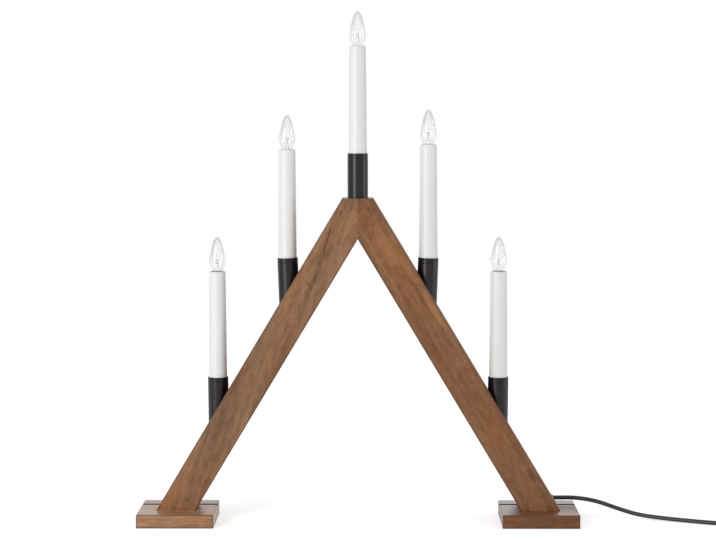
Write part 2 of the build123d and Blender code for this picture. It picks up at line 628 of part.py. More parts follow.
def wire(points):
    return tube_along(FilletPolyline(*points, radius=WIRE_BEND), WIRE_DIAMETER)


def across_channel(z, inset):
    """X and Z on the line square to the channel that crosses its middle at height z."""
    reach = CHANNEL_OFFSET - inset
    return beam_x(z, CHANNEL_OFFSET) + reach * cos(LEAN), z + reach * sin(LEAN)


def at_terminal(z, inset):
    x, height = across_channel(z, inset)
    return (x, LANE_Y, height)


def lamp_wires():
    """Series wires from the terminal block through the five lamps, and the two cord cores."""
    lower_right = LAMPS[-1]
    wires = [wire([at_terminal(TERMINAL_TOP, CHANNEL_OFFSET)] + drop(lower_right, 1, CHANNEL_OFFSET)[::-1])]
    for nearer, farther in zip(LAMPS[:0:-1], LAMPS[-2::-1]):
        wires.append(wire(drop(nearer, -1, CHANNEL_OFFSET) + drop(farther, 1, CHANNEL_OFFSET)[::-1]))
    for hand in (-1, 1):
        inset = CHANNEL_OFFSET - hand * CORE_SPACING / 2
        z = CORD_Z + hand * WIRE_SPACING / 2
        x = beam_x(z, inset)
        wires.append(wire([(CORD_START_X, CORD_Y, z), (x, CORD_Y, z), (x, LANE_Y, z),
                           at_terminal(TERMINAL_BOTTOM, inset)]))
    return wires


def return_wire():
    inset = CHANNEL_OFFSET + RETURN_LANE
    apex = (0, LANE_Y, beam_z(0, inset))
    return wire(drop(LAMPS[0], -1, inset) + [apex, at_terminal(TERMINAL_TOP, inset)])


def terminal_block():
    reach = CHANNEL_WIDTH / 2 - TERMINAL_SIDE_GAP
    front = CHANNEL_FLOOR_Y + TERMINAL_FLOOR_GAP
    near = CHANNEL_OFFSET - reach
    far = CHANNEL_OFFSET + reach
    outline = [across_channel(TERMINAL_BOTTOM, far), across_channel(TERMINAL_BOTTOM, near),
               across_channel(TERMINAL_TOP, near), across_channel(TERMINAL_TOP, far)]
    return slab(outline, front, front + TERMINAL_DEPTH)


# Cord clamp: a small cover over the channel's lower end, with a tapered boot round the cord
def cord_clamp():
    back = HALF_DEPTH + CLAMP_DEPTH
    outside = channel_block(CLAMP_OUTER_REACH, CLAMP_INNER_REACH, CLAMP_BOTTOM, CLAMP_TOP)
    inside = channel_block(CLAMP_CAVITY_REACH, CLAMP_CAVITY_REACH,
                           CLAMP_BOTTOM + CLAMP_WALL, CLAMP_TOP - CLAMP_WALL)
    body = slab(outside, HALF_DEPTH, back)
    cavity = slab(inside, HALF_DEPTH - CUT_PAST, back - CLAMP_WALL)
    boot_frame = Location(Plane(origin=(BOOT_ROOT_X, CORD_Y, CORD_Z), x_dir=(0, 1, 0), z_dir=(1, 0, 0)))
    cone = Cone(BOOT_ROOT_DIAMETER / 2, BOOT_END_DIAMETER / 2, BOOT_LENGTH)
    boot = boot_frame * Pos(0, 0, BOOT_LENGTH / 2) * cone
    bore = rod((CORD_START_X, CORD_Y, CORD_Z), (BOOT_END_X + CUT_PAST, CORD_Y, CORD_Z),
               CORD_DIAMETER + 2 * CORD_CLEARANCE)
    holes = [from_back(beam_x(z, inset), back, z) * screw_hole(CLAMP_SCREW_DIAMETER, CLAMP_SCREW_LENGTH)
             for inset, z in CLAMP_SCREWS]
    return body + boot - cavity - bore - holes


# Mains cord: out of the boot, down to the floor beyond the foot and on to the coil
COIL_OUTER_RADIUS = COIL_INNER_RADIUS + COIL_HALF_TURNS * COIL_STEP / 2 + COIL_CLIMB_ROOM
COIL_START_Y = COIL_Y - COIL_OUTER_RADIUS
CORD_ROUTE = [
    (CORD_START_X, CORD_Y, CORD_Z),
    (BOOT_END_X, CORD_Y, CORD_Z),
    (BOOT_END_X + 20.5, 20.4, 18.2),
    (BOOT_END_X + 41.0, 19.6, 15.0),
    (BOOT_END_X + 60.0, 16.4, 8.6),
    (BOOT_END_X + 79.0, 11.0, 3.4),
    (BOOT_END_X + 102.0, 1.5, FLOOR_CORD_Z),
    (BOOT_END_X + 126.0, -10.5, FLOOR_CORD_Z),
    (BOOT_END_X + 150.0, -21.0, FLOOR_CORD_Z),
    (BOOT_END_X + 175.0, COIL_START_Y, COIL_LOW_Z),
    (COIL_X, COIL_START_Y, COIL_LOW_Z),
]


def route_radii(points):
    """Arc at each corner, as large as its shorter run allows."""
    radii = []
    for before, corner, after in zip(points, points[1:], points[2:]):
        run_in = Vector(*corner) - Vector(*before)
        run_out = Vector(*after) - Vector(*corner)
        turn = radians(run_in.get_angle(run_out))
        radii.append(ARC_SHARE * min(run_in.length, run_out.length) / tan(turn / 2))
    return radii


def mains_cord():
    radii = route_radii(CORD_ROUTE)
    path = FilletPolyline(*CORD_ROUTE, radius=radii)
    tube = tube_along(path, CORD_DIAMETER)
    print("cord radii", [round(r) for r in radii], "length", round(path.length, 1),
          "volume ratio", round(tube.volume / (pi * CORD_RADIUS ** 2 * path.length), 4))
    return tube, path.length


def coil_path():
    """Flat spiral in, a tilted half turn up to the next layer, and a spiral out again."""
    edges = []
    y = COIL_START_Y
    radius = COIL_OUTER_RADIUS
    hand = -1
    for i in range(2 * COIL_HALF_TURNS):
        climbs = i == COIL_HALF_TURNS
        inward = i < COIL_HALF_TURNS
        low = COIL_LOW_Z if i <= COIL_HALF_TURNS else COIL_HIGH_Z
        high = COIL_LOW_Z if inward else COIL_HIGH_Z
        beside_climb = abs(i - COIL_HALF_TURNS) == 1
        step = 0 if climbs else COIL_STEP / 2 + (COIL_CLIMB_ROOM if beside_climb else 0)
        end_radius = radius - step if inward else radius + step
        end_y = COIL_Y - hand * end_radius
        middle = (COIL_X - hand * (radius + end_radius) / 2, (y + end_y) / 2, (low + high) / 2)
        edges.append(ThreePointArc((COIL_X, y, low), middle, (COIL_X, end_y, high)))
        y, radius, hand = end_y, end_radius, -hand
    edges.append(Line((COIL_X, y, COIL_HIGH_Z), (COIL_X + COIL_TAIL, y, COIL_HIGH_Z)))
    return Wire(edges)


def least_self_gap(path, samples=4000):
    """Smallest room between the cord and itself, on points at least half a turn apart."""
    points = [path @ (i / samples) for i in range(samples + 1)]
    spacing = path.length / samples
    apart = int(pi * COIL_INNER_RADIUS / spacing)
    cell = CORD_DIAMETER + COIL_STEP
    cells = {}
    least = cell
    for i, p in enumerate(points):
        key = (int(p.X // cell), int(p.Y // cell))
        for near in [(key[0] + a, key[1] + b) for a in (-1, 0, 1) for b in (-1, 0, 1)]:
            for j in cells.get(near, ()):
                if i - j > apart:
                    least = min(least, (p - points[j]).length)
        cells.setdefault(key, []).append(i)
    return least - CORD_DIAMETER


def cord_coil():
    path = coil_path()
    tube = tube_along(path, CORD_DIAMETER)
    print("coil length", round(path.length, 1), "least self gap", round(least_self_gap(path), 3),
          "volume ratio", round(tube.volume / (pi * CORD_RADIUS ** 2 * path.length), 4))
    return tube, path


def coil_tie():
    """Flat band round all the turns on the far side of the coil."""
    inner = COIL_X + COIL_INNER_RADIUS - CORD_RADIUS - TIE_SIDE_GAP
    outer = COIL_X + COIL_OUTER_RADIUS + CORD_RADIUS + TIE_SIDE_GAP
    bottom = TIE_THICKNESS
    top = COIL_HIGH_Z + CORD_RADIUS + TIE_GAP
    middle = Pos((inner + outer) / 2, COIL_Y, (bottom + top) / 2)
    hole = middle * Box(outer - inner, 2 * TIE_WIDTH, top - bottom)
    band = middle * Box(outer - inner + 2 * TIE_THICKNESS, TIE_WIDTH, top - bottom + 2 * TIE_THICKNESS)
    return band - hole


def plug_frame(coil_end):
    """Frame at the cord end of the plug's relief, with its Z axis towards the pins."""
    start = coil_end - Vector(PLUG_CORD_DEPTH, 0, 0)
    return Location(Plane(origin=start, x_dir=(0, 1, 0), z_dir=(1, 0, 0)))


def plug_body(coil_end):
    """Flat two-pin plug with a tapered relief that takes the cord's end."""
    thickness = 2 * (COIL_HIGH_Z - PLUG_FLOOR_GAP)
    face_z = PLUG_RELIEF_LENGTH + PLUG_LENGTH
    cone = Cone(PLUG_RELIEF_END_DIAMETER / 2, PLUG_RELIEF_DIAMETER / 2, PLUG_RELIEF_LENGTH)
    relief = Pos(0, 0, PLUG_RELIEF_LENGTH / 2) * cone
    neck = Pos(0, 0, PLUG_RELIEF_LENGTH - PLUG_NECK_OVERLAP) * RectangleRounded(
        PLUG_NECK_WIDTH, PLUG_NECK_THICKNESS, PLUG_NECK_CORNER)
    belly = Pos(0, 0, PLUG_RELIEF_LENGTH + PLUG_BELLY_LENGTH) * RectangleRounded(
        PLUG_WIDTH, thickness, PLUG_CORNER)
    face = Pos(0, 0, face_z) * RectangleRounded(PLUG_FACE_WIDTH, PLUG_FACE_THICKNESS, PLUG_CORNER)
    body = relief + loft([neck, belly]) + loft([belly, face])
    cord_hole = Cylinder(CORD_RADIUS + CORD_CLEARANCE, 2 * (PLUG_CORD_DEPTH + CORD_CLEARANCE))
    pin_hole = Cylinder(PIN_ROOT_DIAMETER / 2 + FIT_GAP, PIN_ROOT + 2 * FIT_GAP)
    pin_holes = [Pos(side * PIN_SPACING / 2, 0, face_z - PIN_ROOT / 2) * pin_hole for side in (-1, 1)]
    return plug_frame(coil_end) * (body - cord_hole - pin_holes)


def plug_pins(coil_end):
    face = PLUG_RELIEF_LENGTH + PLUG_LENGTH
    root = PIN_ROOT_DIAMETER / 2
    radius = PIN_DIAMETER / 2
    end = face + PIN_LENGTH
    pin = turned([(0, face - PIN_ROOT), (root, face - PIN_ROOT), (root, face), (radius, face),
                  (radius, end - PIN_NOSE), (radius - PIN_NOSE, end), (0, end)])
    return [plug_frame(coil_end) * Pos(side * PIN_SPACING / 2, 0, 0) * pin for side in (-1, 1)]


os.makedirs("parts", exist_ok=True)


def save(name, shape):
    solids = shape if isinstance(shape, list) else [shape]
    group = Compound(children=[s for piece in solids for s in piece.solids()])
    group.label = name
    export_step(group if len(group.solids()) > 1 else group.solids()[0], f"parts/{name}.step")


for hand, word in ((-1, "left"), (1, "right")):
    save(f"{word}_beam", beam(hand))
    save(f"{word}_foot", foot(hand))
    save(f"{word}_channel_cover", cover(hand))
save("mitre_dowels", [rod((-DOWEL_LENGTH / 2, y, z), (DOWEL_LENGTH / 2, y, z), DOWEL_DIAMETER)
                      for y, z in dowel_places()])
save("foot_screws", [from_below(x, y) * Pos(0, 0, -FOOT_SCREW_SUNK)
                     * sunk_screw(FOOT_SCREW_DIAMETER, FOOT_SCREW_LENGTH)
                     for hand in (-1, 1) for x, y in foot_screw_points(hand)])
save("back_screws", back_screws())
save("sleeve_screws", [sleeve_place(lamp) * SLEEVE_SCREW_SEAT
                       * pan_screw(SLEEVE_SCREW_DIAMETER, SLEEVE_SCREW_LENGTH) for lamp in LAMPS])
for lamp in LAMPS:
    save(f"sleeve_{lamp.name}", sleeve_place(lamp) * sleeve())
    save(f"candle_tube_{lamp.name}", lamp_axis(lamp) * candle_tube())
    save(f"socket_body_{lamp.name}", lamp_axis(lamp) * socket_body())
    save(f"socket_shell_{lamp.name}", lamp_axis(lamp) * socket_shell())
    save(f"bulb_glass_{lamp.name}", lamp_axis(lamp) * bulb_glass())
    save(f"bulb_cap_{lamp.name}", lamp_axis(lamp) * bulb_cap())
    save(f"bulb_tip_{lamp.name}", lamp_axis(lamp) * bulb_tip())
    save(f"bulb_filament_{lamp.name}", lamp_axis(lamp) * bulb_filament())
    print(lamp.name, "rim", round(sleeve_place(lamp).position.Z, 2), "tube top", round(tube_top(lamp), 2))
save("socket_contacts", [lamp_axis(lamp) * socket_contact() for lamp in LAMPS])
save("lamp_wires", lamp_wires())
save("return_wire", return_wire())
save("terminal_block", terminal_block())
save("cord_clamp", cord_clamp())
cord, cord_length = mains_cord()
coil, coil_line = cord_coil()
print("whole cord", round(cord_length + coil_line.length, 1))
save("mains_cord", cord)
save("cord_coil", coil)
save("coil_tie", coil_tie())
save("plug_body", plug_body(coil_line @ 1))
save("plug_pins", plug_pins(coil_line @ 1))
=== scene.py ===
# %% [markdown]
# A candle arch: two mitred wooden beams on square feet carry five electric candles. The frame that
# is loaded here holds every rigid piece at its real size, in metres, with +Z up and the front
# towards -Y. This lesson dresses it: it gives each surface its finish, lays the mains cord, and
# turns the glass, the screw caps and the screws finer than the frame draws them.

# %% Load the frame
from math import atan2, cos, pi, radians, sin

import bmesh
import bpy
from mathutils import Matrix, Vector
from mathutils.geometry import convex_hull_2d


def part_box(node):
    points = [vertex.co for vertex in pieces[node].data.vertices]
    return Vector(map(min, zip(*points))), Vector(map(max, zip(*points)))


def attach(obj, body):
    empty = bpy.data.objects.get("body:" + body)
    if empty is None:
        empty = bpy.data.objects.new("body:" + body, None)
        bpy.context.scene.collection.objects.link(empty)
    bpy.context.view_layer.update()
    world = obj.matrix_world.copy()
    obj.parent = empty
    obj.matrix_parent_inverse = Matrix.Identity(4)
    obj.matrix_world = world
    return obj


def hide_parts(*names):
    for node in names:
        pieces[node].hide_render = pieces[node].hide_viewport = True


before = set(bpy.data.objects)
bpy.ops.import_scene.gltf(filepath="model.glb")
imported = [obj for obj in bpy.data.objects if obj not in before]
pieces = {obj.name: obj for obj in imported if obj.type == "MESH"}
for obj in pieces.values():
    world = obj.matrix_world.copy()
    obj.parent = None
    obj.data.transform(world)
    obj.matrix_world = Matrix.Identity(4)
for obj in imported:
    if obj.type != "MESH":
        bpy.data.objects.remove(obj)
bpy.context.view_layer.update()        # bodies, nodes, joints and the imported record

MM = 0.001
LAMPS = ("lower_left", "upper_left", "top", "upper_right", "lower_right")

# %% [markdown]
# The camera stands almost square to the arch, a little above its middle. Its place, turn and focal
# length were worked out from the arch's edges, so that every piece lands where it does in the
# photograph. A long lens keeps the beams nearly free of perspective.

# %% Camera
CAMERA_PLACE = Vector((0.02007, -1.76954, 0.37961))
CAMERA_YAW = -0.0113        # radians, positive looks towards +X
CAMERA_PITCH = 0.0811       # radians, downwards
CAMERA_ROLL = -0.0014
FOCAL_PIXELS = 1912.8
PICTURE_WIDTH = 716
SENSOR_WIDTH = 36.0


def add_object(name, data):
    """A new object in the scene."""
    thing = bpy.data.objects.new(name, data)
    bpy.context.scene.collection.objects.link(thing)
    return thing


camera = add_object("camera", bpy.data.cameras.new("camera"))
camera.data.sensor_width = SENSOR_WIDTH
camera.data.lens = FOCAL_PIXELS / PICTURE_WIDTH * SENSOR_WIDTH
stand = Matrix.Translation(CAMERA_PLACE)
for angle, axis in ((-CAMERA_YAW, "Z"), (pi / 2 - CAMERA_PITCH, "X"), (CAMERA_ROLL, "Z")):
    stand @= Matrix.Rotation(angle, 4, axis)
camera.matrix_world = stand
bpy.context.scene.camera = camera
print("camera lens", round(camera.data.lens, 2), "mm")

# %% [markdown]
# The mains cord is a fixed length of round black cable. It leaves the boot behind the right beam,
# falls past the foot, runs along the floor and ends in a tied coil and a plug. The points of the
# free stretch are given, and a loop works out the turns of the coil.

# %% Cord route
COIL_INNER_RADIUS = 13.5 * MM
COIL_STEP = 4.45 * MM
COIL_HALF_TURNS = 10
COIL_CLIMB_ROOM = 0.6 * MM
COIL_TAIL = 28.0 * MM
COIL_LOW = 2.85 * MM
COIL_HIGH = COIL_LOW + COIL_STEP
POINTS_PER_HALF_TURN = 12
COIL_OUTER_RADIUS = COIL_INNER_RADIUS + COIL_HALF_TURNS * COIL_STEP / 2 + COIL_CLIMB_ROOM

cord_start_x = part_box("mains_cord")[0].x
boot_end_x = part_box("cord_clamp")[1].x
COIL_CENTRE = (boot_end_x + 0.200, 0.010)
COIL_START_Y = COIL_CENTRE[1] - COIL_OUTER_RADIUS
BOOT_LINE = (0.020, 0.0179)         # y and z of the cord in its boot
CORD_EXIT = (boot_end_x, *BOOT_LINE)
FREE_STRETCH = (                    # distance past the boot, y and z
    (0.0205, 0.0204, 0.0182), (0.0410, 0.0196, 0.0150), (0.0600, 0.0164, 0.0086),
    (0.0790, 0.0110, 0.0034), (0.1020, 0.0015, 0.0021), (0.1260, -0.0105, 0.0021),
    (0.1500, -0.0210, 0.0021), (0.1750, COIL_START_Y, COIL_LOW),
)
CORD_ROUTE = [(cord_start_x, *BOOT_LINE), CORD_EXIT,
              *((boot_end_x + past, y, z) for past, y, z in FREE_STRETCH),
              (COIL_CENTRE[0], COIL_START_Y, COIL_LOW)]


def coil_points():
    """Half turns that wind inwards on the floor, climb once and wind outwards on top."""
    points = []
    y, radius, hand = COIL_START_Y, COIL_OUTER_RADIUS, -1
    for i in range(2 * COIL_HALF_TURNS):
        climbs = i == COIL_HALF_TURNS
        inward = i < COIL_HALF_TURNS
        room = COIL_CLIMB_ROOM if abs(i - COIL_HALF_TURNS) == 1 else 0
        step = 0 if climbs else COIL_STEP / 2 + room
        end_radius = radius - step if inward else radius + step
        end_y = COIL_CENTRE[1] - hand * end_radius
        low = COIL_LOW if i <= COIL_HALF_TURNS else COIL_HIGH
        rise = COIL_STEP if climbs else 0
        reach, middle_y = (radius + end_radius) / 2, (y + end_y) / 2
        for k in range(1, POINTS_PER_HALF_TURN + 1):
            turn = pi * k / POINTS_PER_HALF_TURN
            points.append((COIL_CENTRE[0] - hand * reach * sin(turn),
                           middle_y + hand * reach * cos(turn),
                           low + rise * (1 - cos(turn)) / 2))
        y, radius, hand = end_y, end_radius, -hand
    points.append((COIL_CENTRE[0] + COIL_TAIL / 3, y, COIL_HIGH))
    points.append((COIL_CENTRE[0] + COIL_TAIL, y, COIL_HIGH))
    return points


cord_points = CORD_ROUTE + coil_points()
print("cord points", len(cord_points))

# %% [markdown]
# A curve with a round bevel is the natural way to draw the cord, because its line stays the cord's
# own centre line. It takes the place of the frame's straight stretch and of its plain coil.

# %% Mains cord
CORD_DIAMETER = 4.0 * MM
CORD_ROUNDING = 5           # steps of its round section
CORD_SMOOTHNESS = 6         # steps between two points of its line


def cord_curve(name, points, diameter):
    """A round cord along a smooth NURBS line; its points carry its radius, so its box is right."""
    curve = bpy.data.curves.new(name, "CURVE")
    curve.dimensions = "3D"
    curve.bevel_depth = 1.0
    curve.bevel_resolution = CORD_ROUNDING
    curve.use_fill_caps = True
    curve.resolution_u = CORD_SMOOTHNESS
    spline = curve.splines.new("NURBS")
    spline.points.add(len(points) - 1)
    for point, place in zip(spline.points, points):
        point.co = (*place, 1)
        point.radius = diameter / 2
    spline.order_u = 3
    spline.use_endpoint_u = True
    return add_object(name, curve)


mains_cord = cord_curve("mains_lead", cord_points, CORD_DIAMETER)
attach(mains_cord, "arch")
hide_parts("mains_cord", "cord_coil")
print("cord splines", len(mains_cord.data.splines))

# %% [markdown]
# Every finish below is a node tree, so a few small helpers come first. The main ones add a node and
# fill its inputs, each with a plain value or with the output of another node. The others start a
# group, and write sums, mixes and noises in one line.

# %% Node helpers
def fill(tree, ends, inputs):
    """Give each of the named inputs a plain value or another node's output."""
    for socket, value in inputs.items():
        if isinstance(value, bpy.types.NodeSocket):
            tree.links.new(value, ends[socket])
        else:
            ends[socket].default_value = value


def put(tree, kind, inputs=None, **settings):
    """Add a node with its settings and fill its inputs."""
    node = tree.nodes.new(kind)
    for name, value in settings.items():
        setattr(node, name, value)
    fill(tree, node.inputs, inputs or {})
    return node


def start_group(name, kind, inputs, outputs):
    """A node group with named sockets: the group, what it is given and what it has to make."""
    group = bpy.data.node_groups.new(name, kind + "NodeTree")
    for in_out, named in (("INPUT", inputs), ("OUTPUT", outputs)):
        for socket, sort in named.items():
            group.interface.new_socket(socket, in_out=in_out, socket_type="NodeSocket" + sort)
    return group, group.nodes.new("NodeGroupInput").outputs, group.nodes.new("NodeGroupOutput").inputs


def output(tree, kind, inputs=None, **settings):
    """The first output of a new node."""
    return put(tree, kind, inputs, **settings).outputs[0]


def maths(tree, operation, first, second=0.0):
    return output(tree, "ShaderNodeMath", {0: first, 1: second}, operation=operation)


def vector_maths(tree, operation, first, second=(0, 0, 0)):
    return output(tree, "ShaderNodeVectorMath", {0: first, 1: second}, operation=operation)


def span(tree, value, low, high, out_low=0.0, out_high=1.0):
    """Spread a value between two bounds, held at both ends."""
    bounds = {0: value, 1: low, 2: high, 3: out_low, 4: out_high}
    return output(tree, "ShaderNodeMapRange", bounds)


def mix_colour(tree, factor, first, second):
    return put(tree, "ShaderNodeMix", {0: factor, 6: first, 7: second}, data_type="RGBA").outputs[2]


def noise(tree, vector, scale, detail, **values):
    sizes = {"Vector": vector, "Scale": scale, "Detail": detail, **values}
    return put(tree, "ShaderNodeTexNoise", sizes).outputs["Fac"]


SURFACE = {"Color": "Color", "Roughness": "Float", "Height": "Float"}
print("helpers ready; a surface group makes", list(SURFACE))

# %% [markdown]
# The wood is a stained, satin-lacquered hardwood. Its figure runs through the block, so it is a
# solid texture on Object coordinates, with Z turned along the grain. Layers of stretched noise make
# it: slow drifts of tone and hue, streaks, mottle, fibres, and short dark pores. One group holds them
# for the beams, the feet and the cover strips. Each material gives it its own colours and contrast.

# %% Wood grain group
GRAIN_LAYERS = (
    # scale across and along the grain in features per metre, detail, share of the figure
    ("tone", 34, 3.2, 2.0, 0.80),
    ("streak", 190, 7.0, 4.0, 0.68),
    ("mottle", 260, 90.0, 3.0, 0.78),
    ("fibre", 1000, 26.0, 2.0, 0.40),
)
FIGURE_REACH = 0.9          # swing of the figure that brings the pale or the dark colour out in full
HUE_LAYER = (55, 11, 3.0)
WARM, COOL = (1.07, 0.955, 0.83), (0.94, 1.02, 1.14)
PORE_LAYER = (2300, 85, 1.0)
PORE_DARKNESS = 0.34
STREAK_ROUGHNESS = (0.30, 0.44)
# values of a noise that count as its least and its most
FIGURE_NOISE, HUE_NOISE, PLAIN_NOISE = (0.25, 0.75), (0.34, 0.66), (0.3, 0.7)
PORE_NOISE, PORE_SLOPE = (0.60, 0.70), (0.52, 0.70)


def stretched_noise(tree, vector, across, along, detail):
    """Noise with its own scale across and along the grain."""
    stretched = vector_maths(tree, "MULTIPLY", vector, (across, across, along))
    return noise(tree, stretched, 1.0, detail, Roughness=0.55, Distortion=0.25)


def build_wood_grain():
    group, given, made = start_group("Wood grain", "Shader", {
        "Vector": "Vector", "Pale": "Color", "Middle": "Color", "Dark": "Color", "Contrast": "Float"},
        SURFACE)
    figure = 0.0
    layers = {}
    for name, across, along, detail, share in GRAIN_LAYERS:
        layers[name] = stretched_noise(group, given["Vector"], across, along, detail)
        swing = span(group, layers[name], *FIGURE_NOISE, -share / 2, share / 2)
        figure = maths(group, "ADD", figure, swing)
    figure = maths(group, "MULTIPLY", figure, given["Contrast"])
    lower = mix_colour(group, span(group, figure, -FIGURE_REACH, 0.0), given["Dark"], given["Middle"])
    colour = mix_colour(group, span(group, figure, 0.0, FIGURE_REACH), lower, given["Pale"])
    hue = span(group, stretched_noise(group, given["Vector"], *HUE_LAYER), *HUE_NOISE)
    cool, warm = (vector_maths(group, "MULTIPLY", colour, tint) for tint in (COOL, WARM))
    pore = stretched_noise(group, given["Vector"], *PORE_LAYER)
    open_pore = span(group, pore, *PORE_NOISE, 0.0, PORE_DARKNESS)
    fill(group, made, {
        "Color": mix_colour(group, open_pore, mix_colour(group, hue, cool, warm), given["Dark"]),
        "Roughness": span(group, layers["streak"], *PLAIN_NOISE, *STREAK_ROUGHNESS),
        "Height": span(group, pore, *PORE_SLOPE, 1.0, 0.0)})
    return group


wood_grain = build_wood_grain()
print("wood grain layers:", [layer[0] for layer in GRAIN_LAYERS])

# %% [markdown]
# The left beam has thin dark mineral streaks and a small knot below the mitre, the right beam a few
# softer ones and some warm pale bands, which are painted highlights. Both beams are darker at the apex,
# and the right one towards its lower end. All of these are placed on the wood in real sizes: a Mapping
# node centres, turns and stretches a round falloff. Noise makes the line wander and frays its edge.

# %% Streak group
BENDS, FRAYS = (2.6, 1.5), (4.0, 3.0)       # noises: features along a mark, detail
WIDE_NOISE = (0.2, 0.8)
FRAY_REACH = 0.6
MASK_EDGE = (0.12, 0.62)
MASK_START = 0.08           # a mark fades in over this, so that no fray lies outside it


def apart(tree, vector):
    return put(tree, "ShaderNodeSeparateXYZ", {0: vector}).outputs


def together(tree, x, y, z):
    return output(tree, "ShaderNodeCombineXYZ", {0: x, 1: y, 2: z})


def build_streak():
    group, given, made = start_group("Streak", "Shader", {
        "Vector": "Vector", "Wander": "Float", "Fray": "Float", "Seed": "Float"}, {"Mask": "Float"})
    place = apart(group, given["Vector"])
    bends = noise(group, together(group, given["Seed"], 0.0, place["Z"]), *BENDS)
    sway = maths(group, "MULTIPLY", span(group, bends, *WIDE_NOISE, -1.0, 1.0), given["Wander"])
    swayed = together(group, maths(group, "ADD", place["X"], sway), place["Y"], place["Z"])
    ball = put(group, "ShaderNodeTexGradient", {"Vector": swayed}, gradient_type="SPHERICAL").outputs["Fac"]
    edge = noise(group, given["Vector"], *FRAYS)
    fray = span(group, edge, *WIDE_NOISE, -FRAY_REACH, FRAY_REACH)
    frayed = maths(group, "MULTIPLY", fray, given["Fray"])
    mask = span(group, maths(group, "ADD", ball, frayed), *MASK_EDGE)
    inside = span(group, ball, 0.0, MASK_START)
    fill(group, made, {"Mask": maths(group, "MULTIPLY", mask, inside)})
    return group


streak = build_streak()
print("streak inputs:", [item.name for item in streak.interface.items_tree])

# %% [markdown]
# A groove is sawn across the top of each foot under the beam's back edge. Its inside is painted
# dark, so it shows as a dark line. A small group makes that mask from the groove's place on the foot,
# which is the same for both feet.

# %% Groove shade group
GROOVE_MIDDLE = (14.5 * MM, 11.2 * MM)     # y and z
GROOVE_HALF = (2.56 * MM, 0.95 * MM)


def build_groove_shade():
    group, given, made = start_group("Groove shade", "Shader", {"Vector": "Vector"}, {"Mask": "Float"})
    place = apart(group, given["Vector"])
    inside = []
    for axis, centre, half in zip("YZ", GROOVE_MIDDLE, GROOVE_HALF):
        away = maths(group, "ABSOLUTE", maths(group, "SUBTRACT", place[axis], centre))
        inside.append(maths(group, "LESS_THAN", away, half))
    fill(group, made, {"Mask": maths(group, "MULTIPLY", *inside)})
    return group


groove_shade = build_groove_shade()
print("groove in millimetres:", [round(2 * half / MM, 2) for half in GROOVE_HALF])

# %% [markdown]
# The eased edges are painted a shade darker than the faces: painted shade, for the dark lines that
# run along the edges. The edges of a straight piece lie where two of its three faces are near, so a
# group finds them from the piece's middle and half sizes.

# %% Edge shade group
EDGE_REACH = 1.4 * MM
EDGE_FULL = 0.5 * MM


def build_edge_shade():
    group, given, made = start_group("Eased edge", "Shader", {"Vector": "Vector", "Half size": "Vector"},
                                     {"Mask": "Float"})
    away = vector_maths(group, "ABSOLUTE", given["Vector"])
    room = apart(group, vector_maths(group, "SUBTRACT", given["Half size"], away))
    x, y, z = (span(group, room[axis], EDGE_FULL, EDGE_REACH, 1.0, 0.0) for axis in "XYZ")
    mask = 0.0
    for first, second in ((x, y), (y, z), (x, z)):
        mask = maths(group, "MAXIMUM", mask, maths(group, "MULTIPLY", first, second))
    fill(group, made, {"Mask": mask})
    return group


edge_shade = build_edge_shade()
print("eased edges reach", EDGE_REACH / MM, "mm")

# %% [markdown]
# Each wooden piece gets its own material from these groups. A Mapping node turns the grain along the
# piece and picks its part of the figure, and the lacquer is a thin coat on the shader.

# %% Lacquered wood
GRAIN_BUMP, GRAIN_STRENGTH = 0.00012, 0.5
COAT_ROUGHNESS = 0.30
WOOD_SPECULAR = 0.25


def start_material(name, values):
    """A material with one Principled shader that has the values given."""
    material = bpy.data.materials.new(name)
    material.use_nodes = True
    tree = material.node_tree
    shader = tree.nodes["Principled BSDF"].inputs
    fill(tree, shader, values)
    return material, tree, shader


def object_place(tree):
    """A point's place on the piece, in metres."""
    return put(tree, "ShaderNodeTexCoord").outputs["Object"]


def lay_surface(tree, shader, surface, strength, distance):
    """Feed a group's colour and roughness into the shader, and its height as a bump."""
    bump = put(tree, "ShaderNodeBump", {"Strength": strength, "Distance": distance,
                                        "Height": surface["Height"]})
    fill(tree, shader, {"Base Color": surface["Color"], "Roughness": surface["Roughness"],
                        "Normal": bump.outputs[0]})


def wood_material(name, turn_degrees, shift, contrast, coat, pale, middle, dark):
    """Lacquered wood; the turn brings the grain onto Z, shift picks another part of the figure."""
    material, tree, shader = start_material(name, {
        "Coat Weight": coat, "Coat Roughness": COAT_ROUGHNESS, "Specular IOR Level": WOOD_SPECULAR})
    turned = output(tree, "ShaderNodeMapping", {
        "Vector": object_place(tree), "Location": shift, "Rotation": (0, radians(turn_degrees), 0)})
    grain = put(tree, "ShaderNodeGroup", {
        "Vector": turned, "Contrast": contrast, "Pale": (*pale, 1), "Middle": (*middle, 1),
        "Dark": (*dark, 1)}, node_tree=wood_grain)
    lay_surface(tree, shader, grain.outputs, GRAIN_STRENGTH, GRAIN_BUMP)
    return material


print("coat roughness", COAT_ROUGHNESS)

# %% [markdown]
# The marks, the groove and the painted shade on the edges are laid over the grain one by one, each as
# a mix towards its own colour, so every piece takes only what it shows. The tops of the feet also get
# a heavier lacquer than their sides.

# %% Marks and edges
UPWARD = (0.6, 0.95)        # how far a face looks up, from a side to a top
MARK_MIDDLE_Y = -15 * MM    # the front face of the beams
MARK_HALF_DEPTH = 8 * MM
MARK_FRAY = 0.7
SEED_STEP = 3.7
# colour of the stain in the streaks, and also of the painted shade on the edges
DARK_STAIN_AND_EDGE_SHADE = (0.058, 0.028, 0.014)
EDGE_SHADE_DEPTH = 0.72


